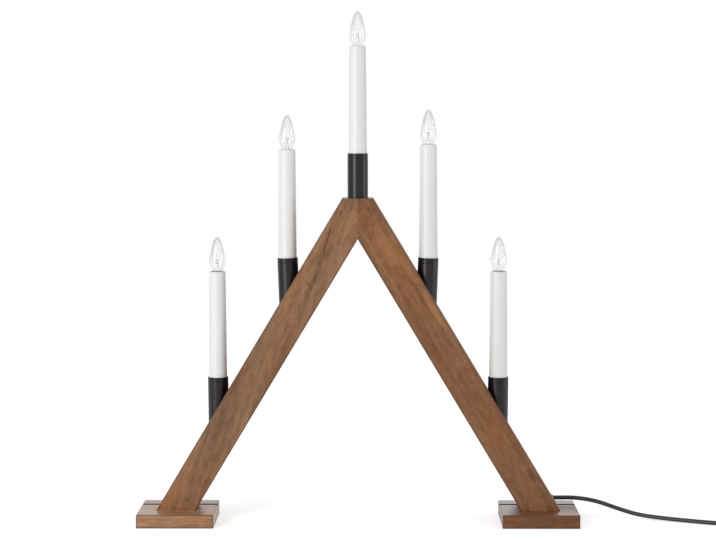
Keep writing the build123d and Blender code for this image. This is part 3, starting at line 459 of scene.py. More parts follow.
def tint_wood(material, group, inputs, depth, colour, location=(0, 0, 0), degrees=0.0, **reach):
    """Blend the wood towards a colour where a group's mask is high; the group sees its own place."""
    tree = material.node_tree
    seen = {"Vector": object_place(tree), "Location": location, "Rotation": (0, radians(degrees), 0), **reach}
    centred = output(tree, "ShaderNodeMapping", seen, vector_type="TEXTURE" if reach else "POINT")
    shade = put(tree, "ShaderNodeGroup", {"Vector": centred, **inputs}, node_tree=group)
    base = tree.nodes["Principled BSDF"].inputs["Base Color"]
    share = maths(tree, "MULTIPLY", shade.outputs["Mask"], depth)
    tree.links.new(mix_colour(tree, share, base.links[0].from_socket, (*colour, 1)), base)


def add_marks(material, marks, colour):
    """Tint the wood along each mark on its front."""
    for i, (x, z, length, width, lean, depth, wander) in enumerate(marks):
        shape = {"Wander": wander, "Fray": MARK_FRAY, "Seed": SEED_STEP * i}
        tint_wood(material, streak, shape, depth, colour, (x * MM, MARK_MIDDLE_Y, z * MM), lean,
                  Scale=(width * MM / 2, MARK_HALF_DEPTH, length * MM / 2))


def add_edge_shade(material, middle, turn_degrees, half_size):
    """Paint shade along the eased edges of a straight piece; the turn and middle bring it to the origin."""
    tint_wood(material, edge_shade, {"Half size": [half * MM for half in half_size]}, EDGE_SHADE_DEPTH, DARK_STAIN_AND_EDGE_SHADE,
              [-c * MM for c in middle], turn_degrees)


def add_top_coat(material, sides, top):
    """Give the upper face, which is wiped and polished most, a heavier lacquer than the sides."""
    tree = material.node_tree
    facing = apart(tree, put(tree, "ShaderNodeTexCoord").outputs["Normal"])
    coat = span(tree, facing["Z"], *UPWARD, sides, top)
    fill(tree, tree.nodes["Principled BSDF"].inputs, {"Coat Weight": coat})


print("edge depth", EDGE_SHADE_DEPTH, "and fray", MARK_FRAY)

# %% [markdown]
# The marks sit where the photograph shows them. They are measured on the beams' fronts, in
# millimetres, so each can be moved or left out on its own.

# %% Marks in the wood
# x and z of the middle, length, width and lean of each mark, how strong it is, and how far it wanders
LEFT_MARKS = (
    (-34.0, 248.0, 100.0, 15.0, 20.0, 0.30, 0.4),
    (-29.0, 262.0, 46.0, 2.3, 14.5, 0.90, 1.3),
    (-39.0, 230.5, 20.0, 2.4, 17.0, 0.88, 0.9),
    (-45.1, 223.6, 10.0, 2.2, -31.0, 0.80, 0.6),
    (-22.9, 272.0, 9.0, 2.0, 24.0, 0.50, 0.8),
    (-43.2, 220.4, 5.0, 4.2, 0.0, 0.75, 0.2),
    (-34.5, 243.0, 10.0, 5.0, 16.0, 0.45, 0.3),
    (-16.1, 289.9, 8.0, 5.0, 20.0, 0.55, 0.3),
    (-53.7, 201.9, 13.0, 2.6, 18.0, 0.50, 0.7),
    (-63.4, 185.5, 12.0, 2.6, 22.0, 0.50, 0.7),
    # a darker patch over the apex, across the mitre; the right beam has the same row
    (0.0, 300.0, 24.0, 52.0, 0.0, 0.28, 0.0),
)
# warm pale bands on the right beam: painted highlights
RIGHT_PAINTED_HIGHLIGHTS = (
    (72.0, 197.0, 64.0, 8.0, -33.0, 0.60, 0.5),
    (48.0, 236.0, 50.0, 7.0, -31.0, 0.35, 0.5),
    (28.0, 258.0, 70.0, 24.0, -31.0, 0.42, 0.4),
)
RIGHT_MARKS = (
    # a broad darker patch over the lower part of the beam
    (112.0, 95.0, 300.0, 90.0, -31.0, 0.22, 0.0),
    (63.0, 202.7, 44.0, 4.0, -35.4, 0.45, 0.8),
    (58.0, 184.0, 130.0, 24.0, -31.0, 0.26, 0.4),
    (136.2, 42.7, 40.0, 5.5, -38.0, 0.40, 0.8),
    (96.0, 122.0, 110.0, 6.0, -31.5, 0.30, 1.2),
    (28.0, 268.0, 60.0, 5.0, -28.0, 0.28, 0.9),
    # a darker patch over the apex, the same as on the left beam
    (0.0, 300.0, 24.0, 52.0, 0.0, 0.22, 0.0),
)
RIGHT_HIGHLIGHT_COLOUR = (0.390, 0.180, 0.062)
RIGHT_MARK_COLOUR = (0.085, 0.024, 0.006)
print("marks:", len(LEFT_MARKS), "left,", len(RIGHT_PAINTED_HIGHLIGHTS + RIGHT_MARKS), "right")

# %% [markdown]
# The left beam is paler and greyer, the right one redder, and the grain of the feet runs from side
# to side. The colours were matched against the photograph. A loop does the two sides, since
# they mirror each other.

# %% Wooden pieces
GROOVE_COLOUR = (0.030, 0.015, 0.008)
WOODS = {
    # turn of the grain, shift, contrast, coat, pale, middle and dark colours
    "left_beam": (-20.0, (0.31, 0.12, 0.0), 1.4, 0.10,
                  (0.308, 0.163, 0.080), (0.224, 0.108, 0.0465), (0.124, 0.054, 0.021)),
    "right_beam": (29.5, (0.77, 0.45, 0.2), 1.5, 0.10,
                   (0.298, 0.142, 0.059), (0.210, 0.092, 0.035), (0.112, 0.045, 0.017)),
    "left_foot": (-90.0, (0.05, 0.91, 0.4), 1.7, 0.30,
                  (0.420, 0.240, 0.120), (0.334, 0.176, 0.080), (0.230, 0.112, 0.048)),
    "right_foot": (-90.0, (0.61, 0.27, 0.8), 1.5, 0.30,
                   (0.206, 0.090, 0.027), (0.142, 0.051, 0.011), (0.088, 0.030, 0.007)),
    "left_channel_cover": (-30.9, (0.13, 0.66, 0.5), 1.6, 0.18,
                           (0.300, 0.155, 0.070), (0.225, 0.105, 0.042), (0.130, 0.055, 0.020)),
    "right_channel_cover": (30.9, (0.47, 0.18, 0.9), 1.6, 0.18,
                            (0.280, 0.125, 0.045), (0.205, 0.082, 0.025), (0.115, 0.042, 0.012)),
    "mitre_dowels": (-90.0, (0.2, 0.2, 0.2), 1.0, 0.0,
                     (0.680, 0.520, 0.340), (0.580, 0.420, 0.260), (0.420, 0.280, 0.150)),
}
BEAM_LEAN = 30.9
BEAM_MIDDLE = 151.93        # from the origin, square to a beam, to its middle line
BEAM_HALF = (15.7, 15.0, 1000.0)    # the length has no edges of its own here
FOOT_MIDDLE = 168.844
FOOT_HALF = (35.65, 35.5, 6.2)
TOP_COATS = {"left_foot": (0.30, 0.65), "right_foot": (0.25, 1.0)}


def dress(names, material):
    """Put one material on every slot of the named frame pieces."""
    for name in names:
        mesh = pieces[name].data
        mesh.materials.clear()
        mesh.materials.append(material)


woods = {name: wood_material(name.replace("_", " ") + " wood", *values) for name, values in WOODS.items()}
add_marks(woods["left_beam"], LEFT_MARKS, DARK_STAIN_AND_EDGE_SHADE)
# painted highlights on the right beam
add_marks(woods["right_beam"], RIGHT_PAINTED_HIGHLIGHTS, RIGHT_HIGHLIGHT_COLOUR)
add_marks(woods["right_beam"], RIGHT_MARKS, RIGHT_MARK_COLOUR)
for side, way in (("left", -1), ("right", 1)):
    beam, foot = woods[side + "_beam"], woods[side + "_foot"]
    # painted shade along the edges of the beam and the foot
    add_edge_shade(beam, (way * BEAM_MIDDLE, 0, 0), way * BEAM_LEAN, BEAM_HALF)
    add_edge_shade(foot, (way * FOOT_MIDDLE, 0, FOOT_HALF[2]), 0.0, FOOT_HALF)
    # paint the inside of the groove dark
    tint_wood(foot, groove_shade, {}, 1.0, GROOVE_COLOUR)
    add_top_coat(foot, *TOP_COATS[side + "_foot"])
for name, material in woods.items():
    dress([name], material)
print("wooden pieces dressed:", len(woods))

# %% [markdown]
# Plain materials still need a little life: powder coat has a fine pebble, moulded plastic a faint
# mottle, metal a soft cloudiness. One group makes that unevenness at any size, as a value for the
# roughness, a tint for the colour and a height for the bump.

# %% Uneven surface group
BROAD_SHARE = 0.06          # scale of the broad clouds against that of the fine pebble
FINE_DETAIL, BROAD_DETAIL = 3.0, 2.0


def build_unevenness():
    group, given, made = start_group("Uneven surface", "Shader", {
        "Color": "Color", "Shade": "Color", "Size": "Float", "Smooth": "Float", "Rough": "Float"}, SURFACE)
    place = object_place(group)
    fine = noise(group, place, given["Size"], FINE_DETAIL)
    broad = noise(group, place, maths(group, "MULTIPLY", given["Size"], BROAD_SHARE), BROAD_DETAIL)
    tint = mix_colour(group, span(group, broad, *PLAIN_NOISE), given["Color"], given["Shade"])
    rough = span(group, fine, *PLAIN_NOISE, given["Smooth"], given["Rough"])
    fill(group, made, {"Color": tint, "Roughness": rough, "Height": fine})
    return group


uneven_surface = build_unevenness()
print("uneven surface makes", list(SURFACE))

# %% [markdown]
# The rest of the arch is plain stuff: coated sleeves, moulded tubes and sockets, brass, plated steel
# and cable sheath. Each is one row of a table with its colour, a shade of it, and how fine, rough and
# deep its unevenness is, so a finish can be compared with its neighbours and changed in one place.

# %% Plain finishes
PLAIN_STRENGTH = 0.4        # of the bump
FINISHES = {
    # colour, its shade, features per metre, least and most roughness, bump height, other values
    "satin black coat": ((0.003, 0.003, 0.0042), (0.004, 0.004, 0.0055), 1500, 0.29, 0.35, 0.00003,
                         {"Specular IOR Level": 0.32}),
    "candle plastic": ((0.735, 0.733, 0.722), (0.712, 0.710, 0.698), 600, 0.30, 0.40, 0.00002,
                       {"Specular IOR Level": 0.40}),
    "socket plastic": ((0.70, 0.69, 0.65), (0.64, 0.63, 0.60), 800, 0.45, 0.60, 0.00003, {}),
    "brass": ((0.72, 0.52, 0.22), (0.64, 0.45, 0.18), 900, 0.24, 0.38, 0.00002, {"Metallic": 1.0}),
    "solder": ((0.55, 0.55, 0.56), (0.48, 0.48, 0.49), 1200, 0.30, 0.45, 0.00004, {"Metallic": 1.0}),
    "zinc plated steel": ((0.60, 0.59, 0.56), (0.50, 0.49, 0.46), 1100, 0.28, 0.42, 0.00002,
                          {"Metallic": 1.0}),
    "lead wire": ((0.66, 0.65, 0.63), (0.58, 0.57, 0.55), 2500, 0.35, 0.50, 0.00001, {"Metallic": 0.4}),
    "wire sheath": ((0.72, 0.71, 0.68), (0.66, 0.65, 0.62), 900, 0.45, 0.60, 0.00002, {}),
    "cord sheath": ((0.014, 0.014, 0.016), (0.020, 0.020, 0.022), 2200, 0.36, 0.50, 0.00003,
                    {"Specular IOR Level": 0.45}),
    "clamp plastic": ((0.016, 0.016, 0.017), (0.022, 0.022, 0.023), 1400, 0.48, 0.64, 0.00005, {}),
    "plug plastic": ((0.015, 0.015, 0.017), (0.021, 0.021, 0.023), 1700, 0.42, 0.58, 0.00004, {}),
    "nickel pins": ((0.66, 0.64, 0.60), (0.58, 0.56, 0.52), 700, 0.16, 0.28, 0.00001, {"Metallic": 1.0}),
    "tie strap": ((0.042, 0.042, 0.044), (0.060, 0.060, 0.062), 2600, 0.70, 0.90, 0.00012, {}),
}


def plain_material(name, colour, shade, size, smooth, rough, bump_height, values):
    """A finish of one colour with its own unevenness."""
    material, tree, shader = start_material(name, values)
    surface = put(tree, "ShaderNodeGroup", {
        "Color": (*colour, 1), "Shade": (*shade, 1), "Size": size, "Smooth": smooth, "Rough": rough},
        node_tree=uneven_surface)
    lay_surface(tree, shader, surface.outputs, PLAIN_STRENGTH, bump_height)
    return material


def each_lamp(start):
    return [f"{start}_{lamp}" for lamp in LAMPS]


finishes = {name: plain_material(name, *row) for name, row in FINISHES.items()}
mains_cord.data.materials.append(finishes["cord sheath"])
for finish, names in (("satin black coat", each_lamp("sleeve")),
                      ("candle plastic", each_lamp("candle_tube")),
                      ("socket plastic", each_lamp("socket_body") + ["terminal_block"]),
                      ("brass", each_lamp("socket_shell") + ["socket_contacts"]),
                      ("solder", each_lamp("bulb_tip")),
                      ("zinc plated steel", ["sleeve_screws"]),
                      ("wire sheath", ["lamp_wires", "return_wire"]),
                      ("clamp plastic", ["cord_clamp"]),
                      ("plug plastic", ["plug_body"]),
                      ("nickel pins", ["plug_pins"])):
    dress(names, finishes[finish])
print("plain finishes:", len(finishes))

# %% [markdown]
# The bulbs are thin clear glass. The shader's transmission does the work. In a white room clear
# glass would vanish, so a Layer Weight greys it where it is seen edge on: painted shade for the dark
# edges that a curved wall shows.
# The bead that carries the leads is pressed glass, thicker and a little cloudy.

# %% Bulb glass
GLASS_IOR = 1.45
# greys of the glass by how edge-on it is seen: its own tint where seen face on, painted shade towards its
# edges
GLASS_TINTS = ((0.0, 0.940), (0.15, 0.922), (0.40, 0.893), (0.80, 0.82))   # by how edge-on it is seen
BEAD_TINTS = ((0.0, 0.80), (0.8, 0.50))
# painted shade at the tip: how grey it gets, and the share of height and of facing over which it deepens
TIP_SHADE = 0.80             # of the thicker glass at the drawn-out tip, seen edge on
TIP_RISE = (0.35, 0.85)     # share of the bulb's height over which it thickens
TIP_FACING = (0.0, 0.35)


def glass_material(name, tints, values):
    """Clear glass with painted shade that greys it towards its edges, and more so at a bulb's tip."""
    material, tree, shader = start_material(name, {"IOR": GLASS_IOR, **values})
    facing = put(tree, "ShaderNodeLayerWeight", {"Blend": 0.5}).outputs["Facing"]
    ramp = put(tree, "ShaderNodeValToRGB", {"Fac": facing})
    stops = ramp.color_ramp.elements
    while len(stops) < len(tints):
        stops.new(0.5)
    for stop, (position, tint) in zip(stops, tints):
        stop.position = position
        stop.color = (tint, tint, tint, 1)
    grey = ramp.outputs["Color"]
    rise = put(tree, "ShaderNodeAttribute", attribute_name="rise").outputs["Fac"]
    # painted shade, deeper where the tip is seen edge on
    tip_shade_share = maths(tree, "MULTIPLY", span(tree, rise, *TIP_RISE), span(tree, facing, *TIP_FACING))
    tip = vector_maths(tree, "MULTIPLY", grey, (TIP_SHADE, TIP_SHADE, TIP_SHADE))
    fill(tree, shader, {"Base Color": mix_colour(tree, tip_shade_share, grey, tip)})
    return material


bulb_glass = glass_material("bulb glass", GLASS_TINTS, {"Roughness": 0.0, "Transmission Weight": 1.0})
bead_glass = glass_material("bead glass", BEAD_TINTS, {"Roughness": 0.12, "Transmission Weight": 0.8})
print("glass:", bulb_glass.name, "and", bead_glass.name)

# %% [markdown]
# The finer pieces are grown by geometry trees. A tree works on a mesh of points in a row, which can
# carry numbers of their own. These helpers draw such a row, run a tree on it, take the plain mesh
# that comes out, and seat it on its body in place of the frame's coarser piece.

# %% Geometry helpers
def line_mesh(name, places):
    """A mesh of points joined in a row."""
    mesh = bpy.data.meshes.new(name)
    mesh.from_pydata(places, [(i, i + 1) for i in range(len(places) - 1)], [])
    return mesh


def store_values(mesh, name, values):
    """Give each point of a mesh a number of its own."""
    mesh.attributes.new(name, "FLOAT", "POINT").data.foreach_set("value", values)


def thicken(holder, thickness, offset):
    solid = holder.modifiers.new("wall", "SOLIDIFY")
    solid.thickness = thickness
    solid.offset = offset


def shown_mesh(holder):
    """The plain mesh that an object shows with its modifiers; the object itself goes."""
    made = bpy.data.meshes.new_from_object(holder.evaluated_get(bpy.context.evaluated_depsgraph_get()))
    bpy.data.objects.remove(holder)
    return made


def grow(mesh, tree, inputs, wall=0.0):
    """Run a geometry tree on a mesh and return the plain mesh that it makes."""
    holder = add_object(mesh.name, mesh)
    nodes = holder.modifiers.new("nodes", "NODES")
    nodes.node_group = tree
    for item in tree.interface.items_tree:
        if item.in_out == "INPUT" and item.name in inputs:
            nodes[item.identifier] = inputs[item.name]
    if wall:
        thicken(holder, wall, -1.0)
    made = shown_mesh(holder)
    made.name = mesh.name
    return made


def seat(name, mesh, body, nodes=()):
    """Put a finished mesh on a body, in place of the named frame pieces."""
    piece = add_object(name, mesh)
    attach(piece, body)
    if nodes:
        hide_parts(*nodes)
    return piece


def start_tree(name, inputs):
    """A geometry tree with named inputs, the last of which is its material."""
    return start_group(name, "Geometry", {**inputs, "Material": "Material"}, {"Geometry": "Geometry"})


def finish_tree(tree, geometry, given, made, smooth=True):
    """End a tree: smooth faces, real geometry, and the material from its input."""
    if smooth:
        geometry = output(tree, "GeometryNodeSetShadeSmooth", {"Geometry": geometry})
    real = output(tree, "GeometryNodeRealizeInstances", {"Geometry": geometry})
    paint = output(tree, "GeometryNodeSetMaterial", {"Geometry": real, "Material": given["Material"]})
    fill(tree, made, {"Geometry": paint})
    return tree


print("geometry helpers ready")

# %% [markdown]
# Glass, screw caps and screws are all turned: one outline swept round an axis. Spinning each by hand
# would repeat the same code, so a Geometry Nodes tree does it. It reads the outline from the object's
# own points, wraps a grid round the axis, and adds a screw thread where the outline asks for one.

# %% Turned piece tree
WELD_DISTANCE = 2e-6
CREASE_ANGLE = 0.7          # radians between faces, past which an edge stays sharp


def ring_value(tree, outline, field, ring, kind):
    """The value of a field on the outline's own point for each ring."""
    sources = {"Geometry": outline, "Value": field, "Index": ring}
    return put(tree, "GeometryNodeSampleIndex", sources, data_type=kind).outputs["Value"]


def round_axis(tree, operation, radius, turn):
    """Radius times the sine or cosine of a turn."""
    return maths(tree, "MULTIPLY", radius, maths(tree, operation, turn))


def build_turned_piece():
    tree, given, made = start_tree("Turned piece", {
        "Outline": "Geometry", "Sides": "Int", "Thread pitch": "Float", "Thread depth": "Float"})
    outline, sides = given["Outline"], given["Sides"]
    rings = put(tree, "GeometryNodeAttributeDomainSize", {0: outline}).outputs["Point Count"]
    columns = maths(tree, "ADD", sides, 1)
    grid = put(tree, "GeometryNodeMeshGrid", {"Vertices X": columns, "Vertices Y": rings}).outputs["Mesh"]
    index = output(tree, "GeometryNodeInputIndex")
    column = maths(tree, "FLOOR", maths(tree, "DIVIDE", maths(tree, "ADD", index, 0.5), rings))
    ring = maths(tree, "SUBTRACT", index, maths(tree, "MULTIPLY", column, rings))
    turn = maths(tree, "DIVIDE", maths(tree, "MULTIPLY", column, 2 * pi), sides)
    position = output(tree, "GeometryNodeInputPosition")
    place = apart(tree, ring_value(tree, outline, position, ring, "FLOAT_VECTOR"))
    thread = put(tree, "GeometryNodeInputNamedAttribute", {"Name": "thread"}, data_type="FLOAT")
    share = ring_value(tree, outline, thread.outputs["Attribute"], ring, "FLOAT")
    climb = maths(tree, "DIVIDE", maths(tree, "MULTIPLY", place["Z"], 2 * pi), given["Thread pitch"])
    wave = maths(tree, "SINE", maths(tree, "SUBTRACT", climb, turn))
    ridge = maths(tree, "MULTIPLY", maths(tree, "MULTIPLY", wave, given["Thread depth"]), share)
    radius = maths(tree, "ADD", place["X"], ridge)
    wrapped = together(tree, round_axis(tree, "COSINE", radius, turn), round_axis(tree, "SINE", radius, turn),
                       place["Z"])
    wrap = output(tree, "GeometryNodeSetPosition", {"Geometry": grid, "Position": wrapped})
    weld = output(tree, "GeometryNodeMergeByDistance", {"Geometry": wrap, "Distance": WELD_DISTANCE})
    bend = put(tree, "GeometryNodeInputMeshEdgeAngle").outputs["Unsigned Angle"]
    crease = output(tree, "GeometryNodeStoreNamedAttribute", {
        "Geometry": weld, "Name": "sharp_edge", "Value": maths(tree, "GREATER_THAN", bend, CREASE_ANGLE)},
        data_type="BOOLEAN", domain="EDGE")
    return finish_tree(tree, crease, given, made)


turned_piece = build_turned_piece()


def turn_piece(name, outline, sides, material, pitch=1.0, depth=0.0, wall=0.0):
    """Turn an outline of (radius, height, share of thread) in millimetres, drawn from bottom to top."""
    places = [(radius * MM, 0, height * MM) for radius, height, share in outline]
    mesh = line_mesh(name, places)
    store_values(mesh, "thread", [share for radius, height, share in outline])
    return grow(mesh, turned_piece, {"Sides": sides, "Thread pitch": pitch * MM, "Thread depth": depth * MM,
                                     "Material": material}, wall * MM)


print("turned piece inputs:", [item.name for item in turned_piece.interface.items_tree])

# %% [markdown]
# The flame-shaped bulb: a straight neck, a full belly and a drawn-out tip, blown to a thin wall. Its
# outline runs smoothly through a few measured widths, and Solidify gives the wall. The brass cap has
# a rolled thread, so it is turned with the thread switched on along its side.

# %% Bulbs and screw caps
GLASS_WIDTHS = ((4.25, -6.2), (4.25, -3.0), (5.2, 0.0), (7.8, 8.29), (6.90, 16.27), (4.91, 24.24),
                (2.81, 29.67), (0.0, 31.9))
GLASS_STEPS = 7
GLASS_SIDES = 56
GLASS_WALL = 0.5
GLASS_HEIGHT = GLASS_WIDTHS[-1][1] * MM
CAP_SIDES = 40
CAP_WALL = 0.2
CAP_PITCH, CAP_THREAD = 1.8143, 0.3
CAP_STEP = 0.15             # between the rings of its thread
DEEP_THREAD, SHALLOW_THREAD = (4.45, -10.6, 28), (4.61, -6.2, 15)  # radius, first height, rings
SOFT_RINGS = 4              # over which the deep thread starts
SHALLOW_SHARE = 0.45
CAP_FOOT = [(0.0, -12.4, 0), (2.2, -12.4, 0), (2.4, -12.3, 0), (4.1, -11.1, 0), (4.35, -10.8, 0)]
CAP_RIM = [(4.50, -3.85, 0), (4.70, -3.55, 0), (4.75, -3.3, 0), (4.72, -3.2, 0)]


def smooth_outline(points, steps):
    """Catmull-Rom line; the first point counts twice, and the last gets a mirrored neighbour."""
    line = [points[0]] + list(points) + [(-points[-2][0], points[-2][1])]
    out = []
    for p0, p1, p2, p3 in zip(line, line[1:], line[2:], line[3:]):
        for k in range(steps):
            t = k / steps
            out.append(tuple(0.5 * (2 * b + (c - a) * t + (2 * a - 5 * b + 4 * c - d) * t ** 2
                                    + (3 * b - a - 3 * c + d) * t ** 3)
                             for a, b, c, d in zip(p0, p1, p2, p3)))
    return out + [points[-1]]


def cap_outline():
    """The foot, a deep thread that starts softly, a shallower one above it, and the rim."""
    radius, start, rings = DEEP_THREAD
    deep = [(radius, start + CAP_STEP * k, min(1.0, k / SOFT_RINGS)) for k in range(rings)]
    radius, start, rings = SHALLOW_THREAD
    shallow = [(radius, start + CAP_STEP * k, SHALLOW_SHARE) for k in range(rings)]
    return CAP_FOOT + deep + shallow + CAP_RIM


def lamp_place(lamp):
    """Middle of a candle tube's top, which the bulb is drawn from."""
    low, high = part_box(f"bulb_glass_{lamp}")
    return Vector(((low.x + high.x) / 2, (low.y + high.y) / 2, high.z - GLASS_HEIGHT))


def seat_at_lamp(lamp, kind, pattern, nodes=()):
    """Seat a copy of a pattern mesh on a lamp's bulb, with its points moved there."""
    name = f"{kind}_{lamp}"
    mesh = pattern.copy()
    mesh.name = name
    mesh.transform(Matrix.Translation(lamp_place(lamp)))
    seat(name, mesh, f"bulb_{lamp}", nodes)


glass_outline = [(radius, height, 0) for radius, height in smooth_outline(GLASS_WIDTHS, GLASS_STEPS)]
glass_pattern = turn_piece("glass pattern", glass_outline, GLASS_SIDES, bulb_glass, wall=GLASS_WALL)
store_values(glass_pattern, "rise", [max(0.0, vert.co.z / GLASS_HEIGHT) for vert in glass_pattern.vertices])
cap_pattern = turn_piece("cap pattern", cap_outline(), CAP_SIDES, finishes["brass"], CAP_PITCH, CAP_THREAD,
                         wall=CAP_WALL)
for lamp in LAMPS:
    seat_at_lamp(lamp, "flame_glass", glass_pattern, [f"bulb_glass_{lamp}"])
    seat_at_lamp(lamp, "screw_cap", cap_pattern, [f"bulb_cap_{lamp}"])
print("glass faces", len(glass_pattern.polygons), "cap faces", len(cap_pattern.polygons))

# %% [markdown]
# Inside each bulb two leads rise from a glass flare, are held by a bead, and end in a fine coiled
# filament bent over an arch. The leads are wires along a path. The filament follows a rule, a spiral
# whose straight axis is bent to a half circle, so a second tree makes it from a Spiral curve.

# %% Wires and filament trees
WIRE_SIDES = 10
FILAMENT_SIDES = 5
FILAMENT_STEPS = 9          # in one turn of the spiral


def wire_from_curve(tree, curve, diameter, sides):
    """Give a curve a round section."""
    section = put(tree, "GeometryNodeCurvePrimitiveCircle", {
        "Resolution": sides, "Radius": maths(tree, "MULTIPLY", diameter, 0.5)})
    return output(tree, "GeometryNodeCurveToMesh", {
        "Curve": curve, "Profile Curve": section.outputs[0], "Fill Caps": True})


def build_wire():
    tree, given, made = start_tree("Wire on a path", {"Path": "Geometry", "Diameter": "Float"})
    curve = output(tree, "GeometryNodeMeshToCurve", {"Mesh": given["Path"]})
    line = output(tree, "GeometryNodeCurveSplineType", {"Curve": curve}, spline_type="CATMULL_ROM")
    return finish_tree(tree, wire_from_curve(tree, line, given["Diameter"], WIRE_SIDES), given, made)


def build_filament():
    # a tree is always given a mesh, here the holder's, but this one draws its own line
    tree, given, made = start_tree("Coiled filament", {
        "Holder": "Geometry", "Turns": "Float", "Coil diameter": "Float", "Wire diameter": "Float",
        "Arch radius": "Float", "Base": "Float"})
    radius = maths(tree, "MULTIPLY", given["Coil diameter"], 0.5)
    spiral = output(tree, "GeometryNodeCurveSpiral", {
        "Resolution": FILAMENT_STEPS, "Height": 1.0, "Rotations": given["Turns"], "Start Radius": radius,
        "End Radius": radius})
    place = apart(tree, output(tree, "GeometryNodeInputPosition"))
    turn = maths(tree, "MULTIPLY", place["Z"], pi)
    reach = maths(tree, "ADD", given["Arch radius"], place["X"])
    height = maths(tree, "ADD", round_axis(tree, "SINE", reach, turn), given["Base"])
    bent = together(tree, round_axis(tree, "COSINE", reach, turn), place["Y"], height)
    bend = output(tree, "GeometryNodeSetPosition", {"Geometry": spiral, "Position": bent})
    return finish_tree(tree, wire_from_curve(tree, bend, given["Wire diameter"], FILAMENT_SIDES), given, made)


wire_on_path = build_wire()
coiled_filament = build_filament()
print("trees:", wire_on_path.name, "and", coiled_filament.name)

# %% [markdown]
# The wires of one bulb are joined to one mesh, and its glass flare and bead to another. Both are
# made once, and every lamp gets its own copy.

# %% Filaments
LEAD_PATH = ((2.25, -5.4), (2.2, -3.0), (1.45, 2.0), (0.75, 5.6), (0.5, 7.4), (0.75, 8.4), (1.25, 9.2),
             (1.25, 9.5))
LEAD_DIAMETER = 0.46
FILAMENT = {"Turns": 24.0, "Coil diameter": 0.62 * MM, "Wire diameter": 0.17 * MM, "Arch radius": 1.25 * MM,
            "Base": 9.4 * MM, "Material": finishes["lead wire"]}
FLARE_OUTLINE = ((0, -5.9, 0), (3.35, -5.9, 0), (3.6, -5.7, 0), (3.6, -5.0, 0), (3.0, -4.75, 0), (0, -4.7, 0))
FLARE_SIDES = 40
BEAD_HALF_WIDTH, BEAD_HALF_HEIGHT, BEAD_MIDDLE = 1.12, 1.05, 7.3
BEAD_STEPS = 14
BEAD_SIDES = 24


def joined(name, meshes):
    """One mesh from several that share a material."""
    shell = bmesh.new()
    for mesh in meshes:
        shell.from_mesh(mesh)
    out = bpy.data.meshes.new(name)
    shell.to_mesh(out)
    shell.free()
    out.materials.append(meshes[0].materials[0])
    return out


def filament_pattern():
    wires = [grow(line_mesh("filament", [(0, 0, 0)]), coiled_filament, FILAMENT)]
    for side in (-1, 1):
        path = line_mesh("lead path", [(side * x * MM, 0, z * MM) for x, z in LEAD_PATH])
        wires.append(grow(path, wire_on_path, {"Diameter": LEAD_DIAMETER * MM,
                                               "Material": finishes["lead wire"]}))
    return joined("filament pattern", wires)


def bead_outline():
    turns = [pi * k / BEAD_STEPS for k in range(BEAD_STEPS + 1)]
    return [(BEAD_HALF_WIDTH * sin(turn), BEAD_MIDDLE - BEAD_HALF_HEIGHT * cos(turn), 0) for turn in turns]


wire_pattern = filament_pattern()
stem_pattern = joined("stem pattern", [turn_piece("flare", FLARE_OUTLINE, FLARE_SIDES, bead_glass),
                                       turn_piece("bead", bead_outline(), BEAD_SIDES, bead_glass)])
for lamp in LAMPS:
    seat_at_lamp(lamp, "filament", wire_pattern, [f"bulb_filament_{lamp}"])
    seat_at_lamp(lamp, "stem", stem_pattern)
print("filament faces", len(wire_pattern.polygons), "stem faces", len(stem_pattern.polygons))

# %% [markdown]
# Screws hold the covers, the clamp and the feet. Each kind is turned once with its thread. A tree
# then cuts the cross into the head and sets a copy at every place, each turned by its own amount, as
# a driver leaves them.

# %% Screws in place tree
CROSS_ARMS = (("Cross length", "Cross width", "Cross depth"), ("Cross width", "Cross length", "Cross depth"))


def build_screws():
    tree, given, made = start_tree("Screws in place", {
        "Places": "Geometry", "Screw": "Object", "Head way": "Vector", "Cross length": "Float",
        "Cross width": "Float", "Cross depth": "Float", "Seed": "Int"})
    screw = put(tree, "GeometryNodeObjectInfo", {"Object": given["Screw"]})
    cut = put(tree, "GeometryNodeMeshBoolean", {"Mesh 1": screw.outputs["Geometry"]}, operation="DIFFERENCE",
              solver="EXACT")
    for sizes in CROSS_ARMS:
        arm_size = together(tree, *(given[size] for size in sizes))
        arm = put(tree, "GeometryNodeMeshCube", {"Size": arm_size})
        tree.links.new(arm.outputs["Mesh"], cut.inputs["Mesh 2"])
    lean = output(tree, "FunctionNodeAlignRotationToVector", {"Vector": given["Head way"]}, axis="Z")
    chance = put(tree, "FunctionNodeRandomValue", {2: 0.0, 3: 2 * pi, "Seed": given["Seed"]},
                 data_type="FLOAT")
    spin = output(tree, "FunctionNodeAxisAngleToRotation", {"Axis": (0, 0, 1), "Angle": chance.outputs[1]})
    both = output(tree, "FunctionNodeRotateRotation", {
        "Rotation": lean, "Rotate By": spin}, rotation_space="LOCAL")
    copies = output(tree, "GeometryNodeInstanceOnPoints", {
        "Points": given["Places"], "Instance": cut.outputs["Mesh"], "Rotation": both})
    return finish_tree(tree, copies, given, made, smooth=False)


screws_in_place = build_screws()
print("screws tree inputs:", [item.name for item in screws_in_place.interface.items_tree])

# %% [markdown]
# A screw's outline follows from its diameter and length: the point, the thread, which fades out under
# the head, and the head. Those in the covers and the feet are sunk, and the clamp's have round heads.

# %% Screw outlines
ROOT_SHARE, PITCH_SHARE, THREAD_SHARE = 0.41, 0.42, 0.09
RINGS_PER_PITCH = 6
POINT_RINGS = ((0.0, 0.0), (0.25, 0.0), (0.7, 0.4))     # share of the point's length and of the thread
SUNK_SHARE, PAN_SHARE = 0.9, 0.93   # a head's radius against the screw's diameter


